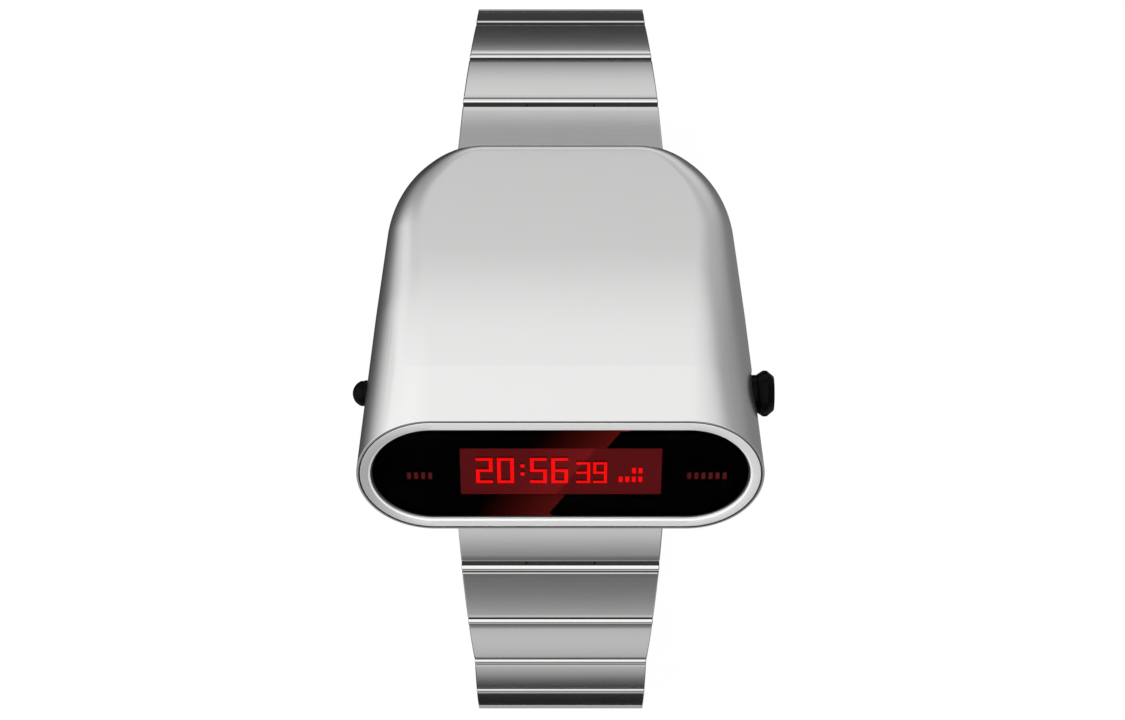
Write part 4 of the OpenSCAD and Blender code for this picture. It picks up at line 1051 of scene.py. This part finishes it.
def linkSection(kind, strand):
    # Outline of a link in (along, outwards), with a finish for each stretch: 0 satin, 1 polished, 2 painted
    # shade for what lies in a gap.
    # The plate's outside is a shallow arch: its height falls with the square of the distance from its middle
    form = linkForm
    half, pitch, r = form["half"], form["pitch"], form["beadR"]
    beadN, inner, start = half - r, -half + form["innerBevel"], form["startU"]
    underEnd = pitch - form["earR"] - form["underGap"]
    plateEnd = pitch - r - form["beadGap"]
    middle, reach = (start + plateEnd) / 2, (plateEnd - start) / 2
    outline, flags = [], []

    def add(points, finish=0):
        outline.extend(points)
        flags.extend([finish] * len(points))

    def arch(u):
        flat = (kind == "first" and u < middle) or (kind == "last" and u > middle)
        return half - (0 if flat else form["crown"] * ((u - middle) / reach)**2)

    if kind == "first":
        add(arcPoints((0, 0), form["knuckleR"], 270, 92, 30))
        plateFrom = form["kneeU"]
    else:
        drop = (form["earR"]**2 - r**2 + beadN**2) / (2 * beadN)
        side = math.sqrt(form["earR"]**2 - drop**2)
        add([(start, -half), (start, inner), (0, inner)])
        ear = arcPoints((0, 0), form["earR"], 270, math.degrees(math.atan2(drop, -side)), 14)
        add(ear[:6])
        # The part of the ear that shows in the gap gets painted shade
        add(ear[6:-1], 2)  # what shows in the gap
        grooveU = math.sqrt(r**2 - (form["grooveN"] - beadN)**2)
        fromAngle = math.degrees(math.atan2(drop - beadN, -side)) % 360
        toAngle = math.degrees(math.atan2(form["grooveN"] - beadN, grooveU))
        steps = 18
        bead = arcPoints((0, beadN), r, fromAngle, toAngle, steps)
        turns = fromAngle + (toAngle - fromAngle) * (np.arange(steps) + 0.5) / steps
        shaded = int(np.sum(turns > form["flankFrom"][strand]))
        # The bead's flank in the gap and the groove behind it get painted shade
        add(bead[:shaded], 2)  # the flank in the gap
        add(bead[shaded:-1], 1)
        add([bead[-1], (start, form["grooveN"])], 2)
        add([(start, arch(start) - form["startBevel"][1])], 1)
        plateFrom = start + form["startBevel"][0]
    plateTo = pitch if kind == "last" else plateEnd - form["endBevel"][0]
    add([(u, arch(u)) for u in np.linspace(plateFrom, plateTo, 15)[:-1]])
    if kind == "last":
        add(arcPoints((pitch, 0), form["knuckleR"], 90, -90, 30))
    else:
        lipN = beadN + form["lip"]
        add([(plateTo, arch(plateTo))], 1)
        # The plate's end wall and lip over the gap get painted shade
        add([(plateEnd, arch(plateTo) - form["endBevel"][1]), (plateEnd, lipN)], 2)
        add([(underEnd, lipN), (underEnd, inner), (underEnd - form["innerBevel"], -half)])
    return np.array(outline), flags


def insetOutline(points, distance):
    # Moves each point of a closed outline inwards, along the mean of its two edges' normals
    after = np.roll(points, -1, 0) - points
    after /= np.maximum(np.linalg.norm(after, axis=1), 1e-9)[:, None]
    normal = np.stack([after[:, 1], -after[:, 0]], 1)
    mean = normal + np.roll(normal, 1, 0)
    mean /= np.maximum(np.linalg.norm(mean, axis=1), 1e-9)[:, None]
    area = np.sum(points[:, 0] * np.roll(points[:, 1], -1) - np.roll(points[:, 0], -1) * points[:, 1])
    return points - (distance if area > 0 else -distance) * mean


def linkFinish(piece, flags=None):
    # Gives a link's three finishes; without flags the whole piece gets painted shade, as it lies in a gap
    piece.data.materials.clear()
    for finish in ("plateSatin", "polishedSteel", "gapBlack"):
        piece.data.materials.append(finishes[finish])
    piece.data.polygons.foreach_set("material_index", flags or [2] * len(piece.data.polygons))
    return piece


def linkSkin(name, kind, strand, wide, narrow):
    # The section carried across the link, drawn in along a quarter circle at both side faces
    form = linkForm
    section, flags = linkSection(kind, strand)
    taper = np.clip(section[:, 0] / form["pitch"], 0, 1)
    angle = np.radians(np.linspace(0, 90, 5))
    rows = []
    for side, turns in ((-1, angle), (1, angle[::-1])):
        for turn in turns:
            inner = insetOutline(section, form["sideRound"] * (1 - math.sin(turn)))
            halfWide = (wide + (narrow - wide) * taper) / 2 - form["sideRound"] * (1 - math.cos(turn))
            rows.append(np.stack([side * halfWide, inner[:, 0], inner[:, 1]], 1))
    count = len(section)
    faces = gridFaces(len(rows), count) + endFaces(len(rows), count)
    piece = newPiece(name, np.concatenate(rows), faces)
    linkFinish(piece, flags * (len(rows) - 1) + [0, 0])
    return tidyMesh(piece, 0.0001)


def makeLink(side, k, path, wide, narrow):
    form = linkForm
    last = side == "front" and k == form["count"] - 1
    kind = "first" if k == 0 else "last" if last else "middle"
    pitch = form["pitch"]
    link = linkSkin(f"{side}Link{k + 1}", kind, side, wide, narrow)
    if not last:
        half, r = form["tongueHalfW"], form["tongueR"]
        root = pitch - form["earR"] - form["tongueRoot"]
        tongue = slab("tongue", (-half, root, -r), (half, pitch, r))
        combine(tongue, rod("tongueEnd", -half, half, r, pitch), "UNION")
        # The tongue lies in the gap, so all of it gets painted shade
        combine(link, linkFinish(tongue), "UNION")
    if kind == "first":
        cut(link, rod("barHole", -20, 20, form["barR"]))
    else:
        half, r = form["tongueHalfW"] + form["recessPlay"], form["recessR"]
        # The recess walls left by these cuts get painted shade
        cut(link, linkFinish(rod("recess", -half, half, r)),
            linkFinish(slab("recessMouth", (-half, -3, -3), (half, 0, r))))
        for end in (-1, 1):
            ends = sorted((end * (wide / 2 - form["holeDepth"]), end * (wide / 2 + 1)))
            cut(link, rod("pinHole", *ends, form["holeR"], turn=24))
    if last:
        cut(link, rod("barHole", -20, 20, form["barR"], pitch))
    else:
        cut(link, rod("tongueHole", -20, 20, form["tongueHoleR"], pitch, turn=24))
    for index, finish in enumerate(link.data.materials):
        if finish is None:  # the walls of the holes
            link.data.materials[index] = finishes["polishedSteel"]
    placed(link, linkMatrix(side, path[k], path[k + 1]))
    standFor(link, f"{side}_link_{k + 1}", "link_steel", degrees=27)


def makeStrands():
    for side in ("rear", "front"):
        path = strandPath(side)
        boxes = [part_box(f"{side}_link_{k + 1}") for k in range(linkForm["count"])]
        widths = [(high.x - low.x) / mm for low, high in boxes]
        for k, (wide, narrow) in enumerate(zip(widths, widths[1:] + widths[-1:])):
            makeLink(side, k, path, wide, narrow)


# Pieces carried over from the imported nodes


def nodeCopy(node, name):
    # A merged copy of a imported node, with its flat faces joined
    mesh = nodes[node].data.copy()
    mesh.materials.clear()
    piece = tidyMesh(addObject(name, mesh), 0.001)
    with edited(mesh) as bm:
        bmesh.ops.dissolve_limit(bm, angle_limit=math.radians(0.5), verts=bm.verts, edges=bm.edges)
    return piece


def refined(node, name, slot, finish, width):
    # A copy with small round edges
    piece = nodeCopy(node, name)
    roundEdges(piece, width)
    standFor(piece, node, slot, finish)


windowForm = dict(halfW=10.4, halfH=3.15, boardLow=4.2, down=0.5, fromLeft=0.22, fromRight=0.12, near=0.1)


def fittedWindow(node, name, slot, finish, low, sides):
    # A copy whose window has its lower edge and its sides where the photo shows them
    form = windowForm
    piece = nodeCopy(node, name)
    for vertex in piece.data.vertices:
        local = np.array(vertex.co) / mm - faceMiddle
        x, up = local @ across, local @ faceUp
        if abs(up + low) < form["near"] and abs(x) < form["halfW"] + 2:
            vertex.co -= Vector(faceUp) * form["down"] * mm
        if sides and abs(abs(x) - form["halfW"]) < form["near"] and abs(up) < form["halfH"] + form["near"]:
            vertex.co.x += (form["fromLeft"] if x < 0 else -form["fromRight"]) * mm
    standFor(piece, node, slot, finish, weigh=False)


nodeFinishes = dict(
    sealRubber="lens_gasket case_back_gasket left_button_seal right_button_seal",
    flexAmber="display_flex", framePlastic="module_frame", circuitGreen="circuit_board",
    chipBlack="processor_chip", canMetal="crystal_can", cellSteel="battery_cells",
    plateGold="trimmer battery_contact battery_strap switch_contacts",
    wireSteel="left_button_spring right_button_spring left_button_clip right_button_clip",
    groundSteel="board_screws front_spring_bar rear_spring_bar clasp_spring_bar clasp_fold_pin "
                "clasp_hinge_pin",
)


def finishNodes():
    for finish, names in nodeFinishes.items():
        for name in names.split():
            mesh = nodes[name].data
            mesh.materials.clear()
            mesh.materials.append(finishes[finish])


makeCase()
makeRing()
makeLens()
makeDigits()
makeMarks()
makeButtons()
print("case, face and buttons made")
makeStrands()
print("strands made")
refined("case_back", "caseBack", "case_steel", "caseSatin", 0.12)
refined("case_back_screws", "caseBackScrews", "pin_steel", "polishedSteel", 0.05)
refined("clasp_inner_blade", "claspInnerBlade", "clasp_steel", "claspSatin", 0.1)
refined("clasp_outer_blade", "claspOuterBlade", "clasp_steel", "claspSatin", 0.1)
refined("clasp_cover", "claspCover", "clasp_steel", "claspSatin", 0.1)
refined("clasp_left_release", "claspLeftRelease", "clasp_steel", "polishedSteel", 0.12)
refined("clasp_right_release", "claspRightRelease", "clasp_steel", "polishedSteel", 0.12)
fittedWindow("mask_plate", "maskPlate", "mask_black", "maskBlack", windowForm["halfH"], True)
fittedWindow("red_filter", "redWindow", "red_filter", "redFilter", windowForm["halfH"], True)
fittedWindow("display_board", "displayBoard", "board_red", "boardRed", windowForm["boardLow"], False)
finishNodes()
print("clasp, back and inner pieces made")
